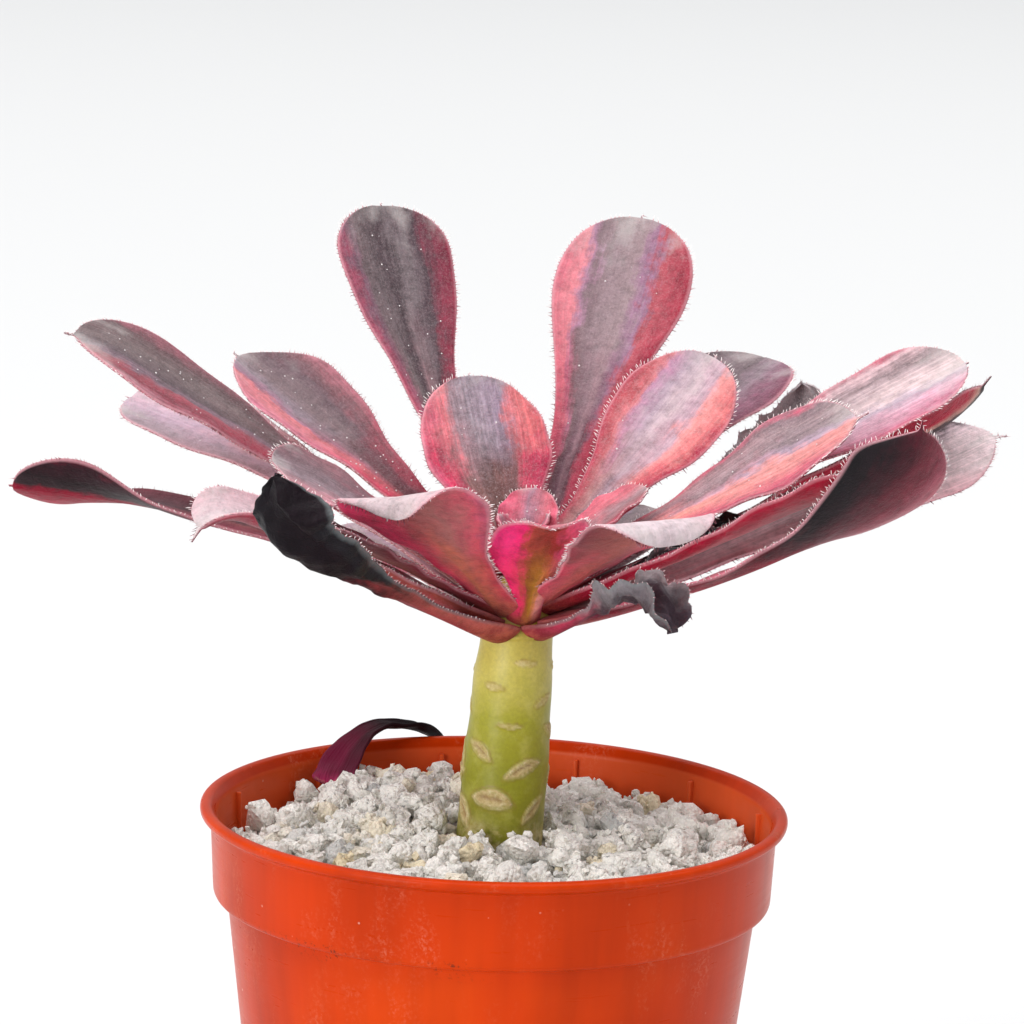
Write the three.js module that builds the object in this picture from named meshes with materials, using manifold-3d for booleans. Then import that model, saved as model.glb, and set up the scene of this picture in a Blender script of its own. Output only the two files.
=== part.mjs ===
// A potted tree aeonium: a leafy rosette on a bare green stem, in a plastic pot of pumice-topped soil.
// Millimetres, +Z up. The origin is the centre of the pot's flat base, and -Y is the front.
import * as THREE from 'three';
import { mergeVertices } from 'three/addons/utils/BufferGeometryUtils.js';
import Module from 'manifold-3d';

// ---- Driving dimensions ----
const POT_HEIGHT = 95;
const RIM_RADIUS = 55;
const BASE_RADIUS = 40.5;
const WALL = 1.2;
const FLOOR = 1.6;
const COLLAR_HEIGHT = 16;
const COLLAR_RADIUS = 52.3;
const WALL_TOP_RADIUS = 49.5;
const COLLAR_FLARE = 0.7;
const STEP_HEIGHT = 3;
const POT_SIDES = 40;
const RIB_COUNT = 12;
const RIB_SIZE = [1.6, 0.9, 8];
const RIB_DROP = 7;
const DRAIN_COUNT = 6;
const DRAIN_RADIUS = 3.5;
const DRAIN_RING = 26;
const GAP = 0.3;

const SOIL_TOP = POT_HEIGHT - 17.5;
const MOUND_EDGE = POT_HEIGHT - 9;
const MOUND_TOP = POT_HEIGHT - 5;
const GRAIN_COUNT = 112;
const GRAIN_RADIUS = [3.6, 5.2];

const STEM_FOOT = 60;
const STEM_TOP = 128.5;
const CROWN_X = 3.3;
const CROWN_RADIUS = 7.2;
const CROWN_TAPER = 0.4;
const CROWN_HEIGHT = 12.8;
const STEM_LEAN = 0.055;
const STEM_SWELL = 0.85;
const STEM_ROOT_TAPER = 1.2;
const STEM_RING_HEIGHTS = [72, 85, 93, 101, 110, 119];
const SCAR_SIZE = [1.3, 3.4, 1.5];
const SCAR_SINK = 0.4;

const LEAF_STEPS = 9;
const LEAF_EDGE = 0.7;
const LEAF_CORE = 1.6;
const LEAF_ROOT_EXTRA = 1.2;
const LEAF_ROOT_SHARE = 0.3;
const LEAF_SINK = 1;
const LANES = [-1, -0.45, 0.45, 1];

const RIM_Z = POT_HEIGHT;
const deg = THREE.MathUtils.degToRad;

// ---- Solids ----
const wasm = await Module();
wasm.setup();

function solidFrom(geometry) {
  const bare = geometry.clone();
  bare.deleteAttribute('normal');
  bare.deleteAttribute('uv');
  const merged = mergeVertices(bare, 1e-4);
  return new wasm.Manifold(new wasm.Mesh({
    numProp: 3,
    vertProperties: new Float32Array(merged.attributes.position.array),
    triVerts: new Uint32Array(merged.index.array),
  }));
}

function geometryFrom(solid) {
  const mesh = solid.getMesh();
  const geometry = new THREE.BufferGeometry();
  geometry.setAttribute('position', new THREE.BufferAttribute(mesh.vertProperties, 3));
  geometry.setIndex(new THREE.BufferAttribute(mesh.triVerts, 1));
  geometry.computeVertexNormals();
  return geometry;
}

function largestBody(solid) {
  const bodies = solid.decompose();
  return bodies.reduce((best, body) => (body.volume() > best.volume() ? body : best));
}

// A body of revolution about Z from [radius, height] points that start and end on the axis.
function turned(points, sides = POT_SIDES) {
  const profile = points.map(([radius, height]) => new THREE.Vector2(radius, height));
  return solidFrom(new THREE.LatheGeometry(profile, sides).rotateX(Math.PI / 2));
}

// A closed tube through rings that all have the same number of points.
function ringSolid(rings) {
  const count = rings[0].length;
  const positions = rings.flat().flatMap((point) => [point.x, point.y, point.z]);
  const triangles = [];
  for (let ring = 0; ring + 1 < rings.length; ring += 1) {
    for (let k = 0; k < count; k += 1) {
      const a = ring * count + k;
      const b = ring * count + ((k + 1) % count);
      triangles.push(a, b, b + count, a, b + count, a + count);
    }
  }
  const last = (rings.length - 1) * count;
  const middle = count / 2;
  for (let k = 0; k < middle - 1; k += 1) {
    const far = count - 1 - k;
    triangles.push(k + 1, k, far, k + 1, far, far - 1);
    triangles.push(last + k, last + k + 1, last + far, last + far, last + k + 1, last + far - 1);
  }
  const mesh = new wasm.Mesh({
    numProp: 3,
    vertProperties: new Float32Array(positions),
    triVerts: new Uint32Array(triangles),
  });
  return new wasm.Manifold(mesh);
}

// A ring of points: along the lower face from lane to lane, then back along the upper face.
function ringRound(lanes, place) {
  const lower = lanes.map((lane) => place(lane, -1));
  const upper = lanes.map((lane) => place(lane, 1));
  return [...lower, ...upper.reverse()];
}

// Repeatable random numbers from 0 to 1.
function seeded(seed) {
  let state = seed;
  return () => {
    state = (state * 1664525 + 1013904223) % 4294967296;
    return state / 4294967296;
  };
}

const smooth = (x) => {
  const t = THREE.MathUtils.clamp(x, 0, 1);
  return t * t * (3 - 2 * t);
};

const part = new THREE.Group();

function addNode(name, solid, color, roughness, metalness = 0) {
  const material = new THREE.MeshStandardMaterial({ color, roughness, metalness });
  const mesh = new THREE.Mesh(geometryFrom(solid), material);
  mesh.name = name;
  part.add(mesh);
}

// ---- Pot: tapered wall, rounded step, wide collar and a small turned-out lip ----
const STEP_Z = POT_HEIGHT - COLLAR_HEIGHT;

function innerWallRadius(z) {
  const taper = (WALL_TOP_RADIUS - BASE_RADIUS) / (STEP_Z - STEP_HEIGHT);
  const below = BASE_RADIUS + taper * z - WALL;
  const collar = COLLAR_RADIUS - WALL + (COLLAR_FLARE * (z - STEP_Z)) / COLLAR_HEIGHT;
  const blend = smooth((z - STEP_Z) / STEP_HEIGHT + 0.5);
  return below * (1 - blend) + collar * blend;
}

// Short upright ribs inside the collar. grow swells them to the room that the pumice leaves.
function wallRibs(grow = 0) {
  return Array.from({ length: RIB_COUNT }, (_, k) => {
    const [depth, width, height] = RIB_SIZE.map((size) => size + 2 * grow);
    const rib = new THREE.BoxGeometry(depth, width, height);
    rib.translate(innerWallRadius(POT_HEIGHT - RIB_DROP), 0, POT_HEIGHT - RIB_DROP);
    rib.rotateZ(deg(12 + (k * 360) / RIB_COUNT));
    return solidFrom(rib);
  });
}

function buildPot() {
  const outside = [
    [0, 0], [BASE_RADIUS - 1.2, 0], [BASE_RADIUS, 1.2],
    [WALL_TOP_RADIUS, STEP_Z - STEP_HEIGHT],
    [WALL_TOP_RADIUS + 0.2, STEP_Z - 1.4], [COLLAR_RADIUS - 0.5, STEP_Z - 1.1], [COLLAR_RADIUS, STEP_Z - 0.4],
    [COLLAR_RADIUS + COLLAR_FLARE, POT_HEIGHT - 2.6], [RIM_RADIUS - 0.4, POT_HEIGHT - 1.9],
    [RIM_RADIUS, POT_HEIGHT - 1.4], [RIM_RADIUS, POT_HEIGHT - 0.5], [RIM_RADIUS - 0.6, POT_HEIGHT],
    [RIM_RADIUS - 1.9, POT_HEIGHT],
  ];
  const inside = [POT_HEIGHT - 2, STEP_Z + STEP_HEIGHT / 2, STEP_Z - STEP_HEIGHT / 2, FLOOR]
    .map((z) => [innerWallRadius(z), z]);
  let pot = turned([...outside, ...inside, [0, FLOOR]]);
  for (const rib of wallRibs()) {
    pot = pot.add(rib);
  }
  for (let k = 0; k < DRAIN_COUNT; k += 1) {
    const drain = new THREE.CylinderGeometry(DRAIN_RADIUS, DRAIN_RADIUS, 4 * FLOOR, 10).rotateX(Math.PI / 2);
    drain.translate(DRAIN_RING, 0, 0);
    drain.rotateZ(deg(30 + (k * 360) / DRAIN_COUNT));
    pot = pot.subtract(solidFrom(drain));
  }
  return pot;
}

// ---- Stem: leans a little to the right, with pale leaf scars, and tapers into the crown ----
// One third of the scars, as [steps round, height above the pumice]. The other thirds repeat it.
const SCARS = [
  [-2, 7], [9, 9], [-8, 13], [4, 16], [-1, 23], [7, 28], [-6, 31], [3, 35],
];

function stemCentre(z) {
  return new THREE.Vector3(CROWN_X - STEM_LEAN * Math.max(0, STEM_TOP - z), 0, z);
}

function stemRadius(z) {
  if (z >= STEM_TOP) return CROWN_RADIUS - CROWN_TAPER * (z - STEM_TOP);
  const swell = STEM_SWELL * smooth((STEM_TOP - z) / (STEM_TOP - RIM_Z));
  const rootTaper = STEM_ROOT_TAPER * smooth((MOUND_EDGE - z) / (MOUND_EDGE - STEM_FOOT));
  return CROWN_RADIUS + swell - rootTaper;
}

function shaft(grow, sides = 20) {
  const foot = STEM_FOOT - grow;
  const heights = [foot, ...STEM_RING_HEIGHTS, STEM_TOP, STEM_TOP + CROWN_HEIGHT + grow];
  const rings = heights.map((z) => {
    const centre = stemCentre(z);
    const radius = stemRadius(z) + grow / Math.cos(Math.PI / sides);
    return Array.from({ length: sides }, (_, k) => {
      const angle = (k * 2 * Math.PI) / sides;
      return new THREE.Vector3(centre.x + radius * Math.cos(angle), centre.y + radius * Math.sin(angle), z);
    });
  });
  return ringSolid(rings);
}

function buildStem() {
  let stem = shaft(0);
  for (let third = 0; third < 3; third += 1) {
    for (const [across, up] of SCARS) {
      const z = RIM_Z - 3 + up;
      const centre = stemCentre(z);
      const radius = stemRadius(z);
      const angle = deg(270 + across * 7.5 + third * 120 + up * 2);
      const scar = new THREE.OctahedronGeometry(1, 0);
      scar.scale(...SCAR_SIZE);
      scar.translate(radius - SCAR_SINK, 0, 0);
      scar.rotateZ(angle);
      scar.translate(centre.x, centre.y, z);
      stem = stem.add(solidFrom(scar));
    }
  }
  return stem;
}

// ---- Leaves ----
// Each leaf grows from the crown. level is its height on the crown, turn its compass direction
// (0 right, 90 back, 180 left, 270 front) and rise its climb in degrees. bend, sweep, roll, twist and
// hook shape it on the way to the tip, and cup hollows its upper face. A lower neck widens the leaf
// near its root, and a higher taper points its tip. Every row is read off by eye.
const LEAVES = [
  { name: 'leaf_back_left_upright', level: 9, turn: 123, rise: 38, bend: 18, sweep: -11, length: 86,
    width: 24, roll: 2, cup: 19, wideAt: 0.86 },
  { name: 'leaf_back_right_upright', level: 8.5, turn: 70, rise: 38, bend: 18, sweep: -3, length: 85,
    width: 27, roll: 8, cup: 8, wideAt: 0.83 },
  { name: 'leaf_left_back', level: 7, turn: 139, rise: 31, bend: -1, sweep: 15, length: 73,
    width: 25, roll: -12, cup: 24, wideAt: 0.8, taper: 0.75 },
  { name: 'leaf_left_long', level: 5, turn: 175, rise: 35, bend: -4, sweep: 18, length: 93,
    width: 26, roll: -17, cup: 8, wideAt: 0.85, hook: -18, hookAt: 0.85, taper: 0.75 },
  { name: 'leaf_left_under', level: 3, turn: 148, rise: 30, bend: -18, sweep: 6, length: 88,
    width: 25, roll: -12, cup: 17, wideAt: 0.85 },
  { name: 'leaf_back_short', level: 11, turn: 118, rise: 54, bend: 3, sweep: -6, length: 40,
    width: 26, roll: -2, cup: 14, wideAt: 0.6, neck: 1.6 },
  { name: 'leaf_right_broad', level: 10, turn: 36, rise: 39, bend: 6, sweep: 0, length: 57,
    width: 23.6, roll: 26, cup: 10, wideAt: 0.74, neck: 2.6 },
  { name: 'leaf_right_back_grey', level: 6.5, turn: 49, rise: 39.5, bend: -19, sweep: -3, length: 76,
    width: 30, roll: 2, cup: 12, wideAt: 0.82 },
  { name: 'leaf_right_upper', level: 7.5, turn: 6, rise: 28.8, bend: 4, sweep: -18, length: 68,
    width: 28, roll: 19, cup: 15, wideAt: 0.8, taper: 0.75 },
  { name: 'leaf_right_long', level: 5.5, turn: 17, rise: 29.4, bend: -1, sweep: -11, length: 92,
    width: 27, roll: 16, cup: 17, wideAt: 0.84 },
  { name: 'leaf_right_low', level: 1, turn: 17.5, rise: 20, bend: 2, sweep: -2, length: 94,
    width: 23, roll: 24, cup: 12, wideAt: 0.84, taper: 0.75 },
  { name: 'leaf_right_edgewise', level: 4.5, turn: 13.5, rise: 22, bend: 4, sweep: -1, length: 94,
    width: 21, roll: -27, cup: 14, wideAt: 0.84, hook: 26, hookAt: 0.82, taper: 0.75 },
  { name: 'leaf_right_front_large', level: 2, turn: 344, rise: 13.5, bend: 26, sweep: 0, length: 84,
    width: 23, roll: -6, cup: 22, wideAt: 0.86, taper: 0.75, twist: -40, neck: 6, hook: 44, hookAt: 0.72 },
  { name: 'leaf_right_front_inner', level: 4.5, turn: 352, rise: 23, bend: 5, sweep: -1, length: 65,
    width: 20, roll: -8, cup: 38, wideAt: 0.84 },
  { name: 'leaf_front_left_folded', level: 4.5, turn: 237, rise: 37, bend: 0, sweep: 0, length: 50,
    width: 29, roll: 12, cup: 6, wideAt: 0.8, hook: -140, hookAt: 0.84, neck: 2.6 },
  { name: 'leaf_front_right_folded', level: 6, turn: 307, rise: 30.5, bend: 0, sweep: 0, length: 48,
    width: 28, roll: -1, cup: 6, wideAt: 0.8, hook: -140, hookAt: 0.84, neck: 2.6 },
  { name: 'leaf_front_small', level: 3, turn: 283, rise: 50, bend: 0, sweep: 0, length: 30,
    width: 20, roll: 0, cup: 30, wideAt: 0.64, hook: -60, hookAt: 0.84, neck: 2.2 },
  { name: 'leaf_far_left_twisted', level: 0.5, turn: 184, rise: 28.7, bend: -25, sweep: 0, length: 92,
    width: 18, roll: -20, cup: 30, wideAt: 0.84, twist: 64, twistAt: 0.58, neck: 7 },
  { name: 'leaf_left_front_hooked', level: 1.5, turn: 212, rise: 28.5, bend: -8, sweep: -6, length: 66,
    width: 17, roll: -8, cup: 48, wideAt: 0.81, hook: -75, hookAt: 0.86 },
  { name: 'leaf_left_inner', level: 6, turn: 198, rise: 39, bend: -14, sweep: 0, length: 52,
    width: 21, roll: -18, cup: 12, wideAt: 0.81 },
  { name: 'leaf_left_front_inner', level: 4, turn: 216, rise: 28, bend: -4, sweep: 0, length: 46,
    width: 17, roll: -6, cup: 26, wideAt: 0.8 },
  { name: 'leaf_inner_back', level: 12, turn: 70, rise: 70, bend: -7, sweep: -2, length: 15,
    width: 13, roll: -8, cup: 19, wideAt: 0.57 },
  { name: 'leaf_inner_right', level: 11, turn: 7, rise: 38, bend: -3, sweep: -2, length: 27,
    width: 13, roll: 10, cup: 23, wideAt: 0.64 },
  { name: 'leaf_hidden_back', level: 1, turn: 96, rise: 6, bend: -4, sweep: 0, length: 68,
    width: 24, roll: 0, cup: 18, wideAt: 0.84 },
  { name: 'leaf_hidden_back_right', level: 2.5, turn: 66, rise: 10, bend: -4, sweep: 0, length: 64,
    width: 24, roll: 0, cup: 18, wideAt: 0.84 },
  { name: 'leaf_hidden_back_left', level: 1.5, turn: 124, rise: 8, bend: -4, sweep: 0, length: 60,
    width: 24, roll: 0, cup: 18, wideAt: 0.84 },
  { name: 'dried_leaf_black', level: 0, turn: 230, rise: 22, bend: 0, sweep: 0, length: 76,
    width: 19, roll: 0, cup: 45, wideAt: 0.82, hook: 85, hookAt: 0.68, dry: true },
  { name: 'dried_leaf_curled', level: 3, turn: 36, rise: 25, bend: 0, sweep: 0, length: 76,
    width: 13, roll: 56, cup: 25, wideAt: 0.84, hook: 80, hookAt: 0.74, dry: true },
  { name: 'dried_leaf_small', level: 3.5, turn: 3.5, rise: 25.5, bend: 0, sweep: 0, length: 41,
    width: 6, roll: 0, cup: 40, wideAt: 0.84, dry: true },
  { name: 'dried_leaf_hanging', level: 0.5, turn: 318, rise: 23.5, bend: 5, sweep: 0, length: 35,
    width: 13, roll: 0, cup: 40, wideAt: 0.7, hook: -100, hookAt: 0.58, dry: true },
];

function halfWidth(leaf, s) {
  if (s < leaf.wideAt) return (leaf.width / 2)
    * (LEAF_ROOT_SHARE + (1 - LEAF_ROOT_SHARE) * smooth(s / leaf.wideAt) ** (leaf.neck ?? 3.5));
  const past = (s - leaf.wideAt) / (1 - leaf.wideAt);
  return (leaf.width / 2) * Math.max(0, 1 - past ** 2.2) ** (leaf.taper ?? 0.5);
}

// The midrib's point and frame at each step from root to tip.
function leafSpine(leaf, steps, overshoot) {
  const turn = deg(leaf.turn);
  const start = crownRadiusAt(leaf.level) - LEAF_SINK;
  const point = new THREE.Vector3(
    CROWN_X + start * Math.cos(turn), start * Math.sin(turn), STEM_TOP + leaf.level,
  );
  const fine = 8;
  const frames = [];
  let previous = 0;
  for (let step = 0; step <= steps; step += 1) {
    const s = 1 - (1 - step / steps) ** 1.6;
    for (let part = 1; part <= fine && step > 0; part += 1) {
      const middle = previous + ((s - previous) * (part - 0.5)) / fine;
      point.addScaledVector(leafDirection(leaf, middle), (leaf.length * (s - previous)) / fine);
    }
    const along = leafDirection(leaf, s);
    const heading = deg(leaf.turn + leaf.sweep * s);
    const across = new THREE.Vector3(-Math.sin(heading), Math.cos(heading), 0);
    const twistAt = leaf.twistAt ?? 0.4;
    const rolled = leaf.roll * smooth(s / 0.35)
      + (leaf.twist ?? 0) * smooth((s - twistAt) / (0.95 - twistAt));
    across.applyAxisAngle(along, deg(rolled));
    const normal = along.clone().cross(across);
    const centre = point.clone();
    if (step === 0) centre.addScaledVector(along, -overshoot);
    if (step === steps) centre.addScaledVector(along, overshoot);
    frames.push({ s, centre, across, normal });
    previous = s;
  }
  return frames;
}

function crownRadiusAt(level) {
  return CROWN_RADIUS - CROWN_TAPER * level;
}

function leafDirection(leaf, s) {
  const hookAt = leaf.hookAt ?? 0.8;
  const hooked = THREE.MathUtils.clamp((s - hookAt) / (1 - hookAt), 0, 1) ** 1.5;
  const climb = deg(leaf.rise + leaf.bend * s + (leaf.hook ?? 0) * hooked);
  const heading = deg(leaf.turn + leaf.sweep * s);
  return new THREE.Vector3(
    Math.cos(climb) * Math.cos(heading), Math.cos(climb) * Math.sin(heading), Math.sin(climb),
  );
}

// The blade is a cupped band, thicker along the middle and at the root. grow swells it on every side.
function leafSolid(leaf, grow = 0) {
  const steps = leaf.length < 30 ? 7 : LEAF_STEPS;
  const cup = deg(Math.max(leaf.cup, 1));
  const rings = leafSpine(leaf, steps, grow).map(({ s, centre, across, normal }) => {
    const half = Math.max(halfWidth(leaf, s), 1.1) + grow;
    const core = LEAF_CORE * (1 - 0.35 * s) + LEAF_ROOT_EXTRA * (1 - smooth(s / 0.3));
    const crumple = leaf.dry ? 0.8 * smooth(s / 0.5) : 0;
    const place = (lane, side) => {
      const angle = cup * lane;
      const out = (Math.sin(angle) / cup) * half;
      const lift = ((1 - Math.cos(angle)) / cup) * half + crumple * Math.sin(lane * 5 + s * 23);
      const thick = (LEAF_EDGE + (core - LEAF_EDGE) * (1 - lane * lane)) / 2 + grow;
      return centre.clone().addScaledVector(across, out).addScaledVector(normal, lift + side * thick);
    };
    return ringRound(LANES, place);
  });
  return ringSolid(rings);
}

// The growing tip: tiny upright leaves fused round a short core on top of the crown.
function buildHeart() {
  const top = STEM_TOP + CROWN_HEIGHT + GAP;
  let heart = turned([[0, 0], [1.7, 0], [1.3, 3.2], [0, 4]], 10).translate([CROWN_X, 0, top]);
  for (let k = 0; k < 5; k += 1) {
    const young = { level: 13.2 + 0.25 * k, turn: 20 + 137.5 * k, rise: 58 + 4 * k, bend: 6, sweep: 0,
      length: 10 - k, width: 6.5 - 0.6 * k, roll: 0, cup: 40, wideAt: 0.62 };
    heart = heart.add(leafSolid(young));
  }
  return heart;
}

// ---- Soil, pumice and the fallen leaf ----
function moundHeight(radius) {
  const inner = innerWallRadius(MOUND_EDGE);
  return MOUND_EDGE + (MOUND_TOP - MOUND_EDGE) * (1 - smooth(radius / inner));
}

function buildSoil() {
  const points = [FLOOR + GAP, STEP_Z - STEP_HEIGHT, SOIL_TOP].map((z) => [innerWallRadius(z) - GAP, z]);
  return turned([[0, FLOOR + GAP], ...points, [0, SOIL_TOP]]);
}

function buildPumice() {
  const random = seeded(7);
  const low = SOIL_TOP + GAP;
  const edge = innerWallRadius(MOUND_EDGE) - GAP;
  const aboveStep = STEP_Z + STEP_HEIGHT / 2;
  const surface = [1, 0.7, 0.4].map((share) => [edge * share, moundHeight(edge * share)]);
  let pumice = turned([
    [0, low], [innerWallRadius(low) - GAP, low], [innerWallRadius(aboveStep) - GAP, aboveStep],
    ...surface, [0, MOUND_TOP],
  ]);
  const golden = Math.PI * (3 - Math.sqrt(5));
  for (let k = 0; k < GRAIN_COUNT; k += 1) {
    const size = THREE.MathUtils.lerp(...GRAIN_RADIUS, random());
    const radius = (edge - size - 0.6) * Math.sqrt((k + 0.5) / GRAIN_COUNT);
    const angle = k * golden;
    const grain = new THREE.OctahedronGeometry(size, 0);
    grain.scale(1, 0.75 + 0.25 * random(), 0.7);
    grain.rotateX(random() * 3);
    grain.rotateZ(random() * 6);
    const height = moundHeight(radius) - 0.25 * size + 0.5 * random();
    grain.translate(radius * Math.cos(angle), radius * Math.sin(angle), height);
    pumice = pumice.add(solidFrom(grain));
  }
  for (const room of [shaft(GAP), fallenLeaf(GAP), ...wallRibs(GAP)]) {
    pumice = pumice.subtract(room);
  }
  return largestBody(pumice);
}

// A shed leaf stands on the pumice at the back left and arches out over the rim.
const FALLEN_ROUTE = [
  [-31.5, 30.5, 91], [-30.5, 34.5, 93.2], [-27.5, 40, 97], [-23, 45, 99.2],
  [-18, 49.5, 98.4], [-13.5, 54.5, 96.2], [-10.5, 58.5, 92.5],
];
const FALLEN_HALF_WIDTHS = [3.8, 4, 3.2, 2.3, 1.8, 1.7, 1];

function fallenLeaf(grow = 0) {
  const points = FALLEN_ROUTE.map(([x, y, z]) => new THREE.Vector3(x, y, z));
  const curve = new THREE.CatmullRomCurve3(points);
  const steps = 12;
  const rings = [];
  for (let step = 0; step <= steps; step += 1) {
    const s = step / steps;
    const along = curve.getTangent(s);
    const across = new THREE.Vector3(-along.y, along.x, 0).normalize();
    const normal = along.clone().cross(across);
    const spot = s * (FALLEN_HALF_WIDTHS.length - 1);
    const low = Math.min(Math.floor(spot), FALLEN_HALF_WIDTHS.length - 2);
    const half = THREE.MathUtils.lerp(FALLEN_HALF_WIDTHS[low], FALLEN_HALF_WIDTHS[low + 1], spot - low) + grow;
    const centre = curve.getPoint(s);
    if (step === 0) centre.addScaledVector(along, -grow);
    if (step === steps) centre.addScaledVector(along, grow);
    const place = (lane, side) => centre.clone()
      .addScaledVector(across, lane * half)
      .addScaledVector(normal, -0.9 * (1 - lane * lane) + side * (0.45 + grow));
    rings.push(ringRound([-1, 0, 1], place));
  }
  return ringSolid(rings);
}

// ---- Assembly ----
const POT_COLOR = 0xc8401c;
const SOIL_COLOR = 0x3a2c22;
const PUMICE_COLOR = 0xd9d6cc;
const STEM_COLOR = 0xa9a948;
const LEAF_COLOR = 0x8a4250;
const DRY_COLOR = 0x3a3638;
const FALLEN_COLOR = 0x2a1620;

const stemRoom = shaft(GAP);

addNode('pot', buildPot(), POT_COLOR, 0.35);
addNode('potting_soil', buildSoil().subtract(stemRoom), SOIL_COLOR, 0.95);
addNode('pumice_top_dressing', buildPumice(), PUMICE_COLOR, 0.95);
addNode('stem', buildStem(), STEM_COLOR, 0.6);

// Where two leaf roots would meet, the one placed later keeps clear of the one already there.
const placed = [];
for (const leaf of LEAVES) {
  let blade = leafSolid(leaf).subtract(stemRoom);
  for (const room of placed) {
    blade = blade.subtract(room);
  }
  addNode(leaf.name, largestBody(blade), leaf.dry ? DRY_COLOR : LEAF_COLOR, 0.6);
  placed.push(leafSolid(leaf, GAP));
}

let heart = buildHeart().subtract(stemRoom);
for (const room of placed) {
  heart = heart.subtract(room);
}
addNode('heart_leaves', largestBody(heart), LEAF_COLOR, 0.6);
addNode('fallen_leaf', largestBody(fallenLeaf()), FALLEN_COLOR, 0.5);

export default part;
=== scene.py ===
# %% [markdown]
# # A potted tree aeonium
# A tree aeonium carries one loose rosette of soft, hairy leaves on a bare stem. This lesson dresses a packed
# CAD model of one in its nursery pot. The CAD model is the frame: it says where each piece is and how large.
# Every soft or natural form then gets a finer piece that stands in the same place.

# %% The frame
import math
import random
import bmesh
import bpy
from mathutils import Matrix, Quaternion, Vector, noise


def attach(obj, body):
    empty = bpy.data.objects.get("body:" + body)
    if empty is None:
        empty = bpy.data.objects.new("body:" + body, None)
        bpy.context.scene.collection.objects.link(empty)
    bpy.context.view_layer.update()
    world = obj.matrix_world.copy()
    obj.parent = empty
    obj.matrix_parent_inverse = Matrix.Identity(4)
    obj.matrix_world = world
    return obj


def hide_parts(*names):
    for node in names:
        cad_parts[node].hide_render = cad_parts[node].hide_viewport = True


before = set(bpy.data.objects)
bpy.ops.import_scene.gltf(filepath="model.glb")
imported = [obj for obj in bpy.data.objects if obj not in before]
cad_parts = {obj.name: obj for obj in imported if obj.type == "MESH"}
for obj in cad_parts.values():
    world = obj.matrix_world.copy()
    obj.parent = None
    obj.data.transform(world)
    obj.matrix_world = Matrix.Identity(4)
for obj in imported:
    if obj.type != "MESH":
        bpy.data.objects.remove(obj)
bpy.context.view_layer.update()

# %% [markdown]
# ## Sizes
# Blender works in metres, and a leaf is easier to think about in millimetres. So the tables below are in
# millimetres, and one factor turns them into metres where a point is placed.

# %% Sizes
MM = 0.001
POT_HEIGHT, RIM_RADIUS, BASE_RADIUS, WALL, FLOOR = 95, 55, 40.5, 1.2, 1.6
STEP_Z, STEP_HEIGHT, COLLAR_RADIUS, COLLAR_FLARE, WALL_TOP = 79, 3, 52.3, 0.7, 49.5
MOUND_EDGE, MOUND_TOP = 86, 90
STEM_FOOT, STEM_TOP, STEM_LEAN, STEM_SWELL = 60, 128.5, 0.055, 0.85
CROWN_X, CROWN_RADIUS, CROWN_TAPER, CROWN_HEIGHT = 3.3, 7.2, 0.4, 12.8


def clamp(x, low=0.0, high=1.0):
    return max(low, min(high, x))


def smooth(x):
    x = clamp(x)
    return x * x * (3 - 2 * x)


def lerp(a, b, t):
    return a + (b - a) * t


def inner_wall(z):
    below = BASE_RADIUS + (WALL_TOP - BASE_RADIUS) / (STEP_Z - STEP_HEIGHT) * z - WALL
    collar = COLLAR_RADIUS - WALL + COLLAR_FLARE * (z - STEP_Z) / (POT_HEIGHT - STEP_Z)
    return lerp(below, collar, smooth((z - STEP_Z) / STEP_HEIGHT + 0.5))


def mound(radius):
    return MOUND_EDGE + (MOUND_TOP - MOUND_EDGE) * (1 - smooth(radius / inner_wall(MOUND_EDGE)))


def stem_centre(z):
    return Vector((CROWN_X - STEM_LEAN * max(0, STEM_TOP - z), 0, z))


def stem_radius(z):
    if z >= STEM_TOP:
        return CROWN_RADIUS - CROWN_TAPER * (z - STEM_TOP)
    swell = STEM_SWELL * smooth((STEM_TOP - z) / (STEM_TOP - POT_HEIGHT))
    shoulder = 0.5 * smooth((z - 119) / 9)
    return CROWN_RADIUS + swell - shoulder - 1.2 * smooth((MOUND_EDGE - z) / (MOUND_EDGE - STEM_FOOT))


print("rim across", 2 * RIM_RADIUS, "mm, pumice top at", MOUND_TOP, "mm")

# %% [markdown]
# ## The camera
# The photo was taken from a little above the rim with a long lens, so the leaves hardly shrink with distance.
# The camera stands 900 mm away and looks 14.6 degrees down, and it is rolled a little, as a held camera is.

# %% The camera
EYE_DISTANCE, EYE_DIP, EYE_ROLL, AIM_X, AIM_HEIGHT = 900, math.radians(14.6), math.radians(1.7), 1.7, 151
lens = bpy.data.cameras.new("photo_camera")
lens.lens, lens.sensor_width = 168.6, 36
camera = bpy.data.objects.new("photo_camera", lens)
bpy.context.scene.collection.objects.link(camera)
bpy.context.scene.camera = camera
eye = Vector((0, -EYE_DISTANCE * math.cos(EYE_DIP), POT_HEIGHT + EYE_DISTANCE * math.sin(EYE_DIP))) * MM
gaze = Vector((AIM_X, 0, AIM_HEIGHT)) * MM - eye
camera.location = eye
camera.rotation_mode = "QUATERNION"
camera.rotation_quaternion = gaze.to_track_quat("-Z", "Y") @ Quaternion((0, 0, 1), EYE_ROLL)
lens.clip_start, lens.clip_end = 0.05, 50
print("camera at", [round(v, 3) for v in camera.location])

# %% [markdown]
# ## Node shorthands
# A procedural material is a graph of small nodes. These helpers make one node each, so a finish below reads
# like a recipe: a noise, a ramp of colours, a mix of the two.

# %% Node shorthands
def paint(code):
    """A colour from its six-digit code, as the linear values that a shader wants."""
    parts = [int(code[k:k + 2], 16) / 255 for k in (0, 2, 4)]
    return tuple(c / 12.92 if c <= 0.04045 else ((c + 0.055) / 1.055) ** 2.4 for c in parts) + (1.0,)


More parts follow.
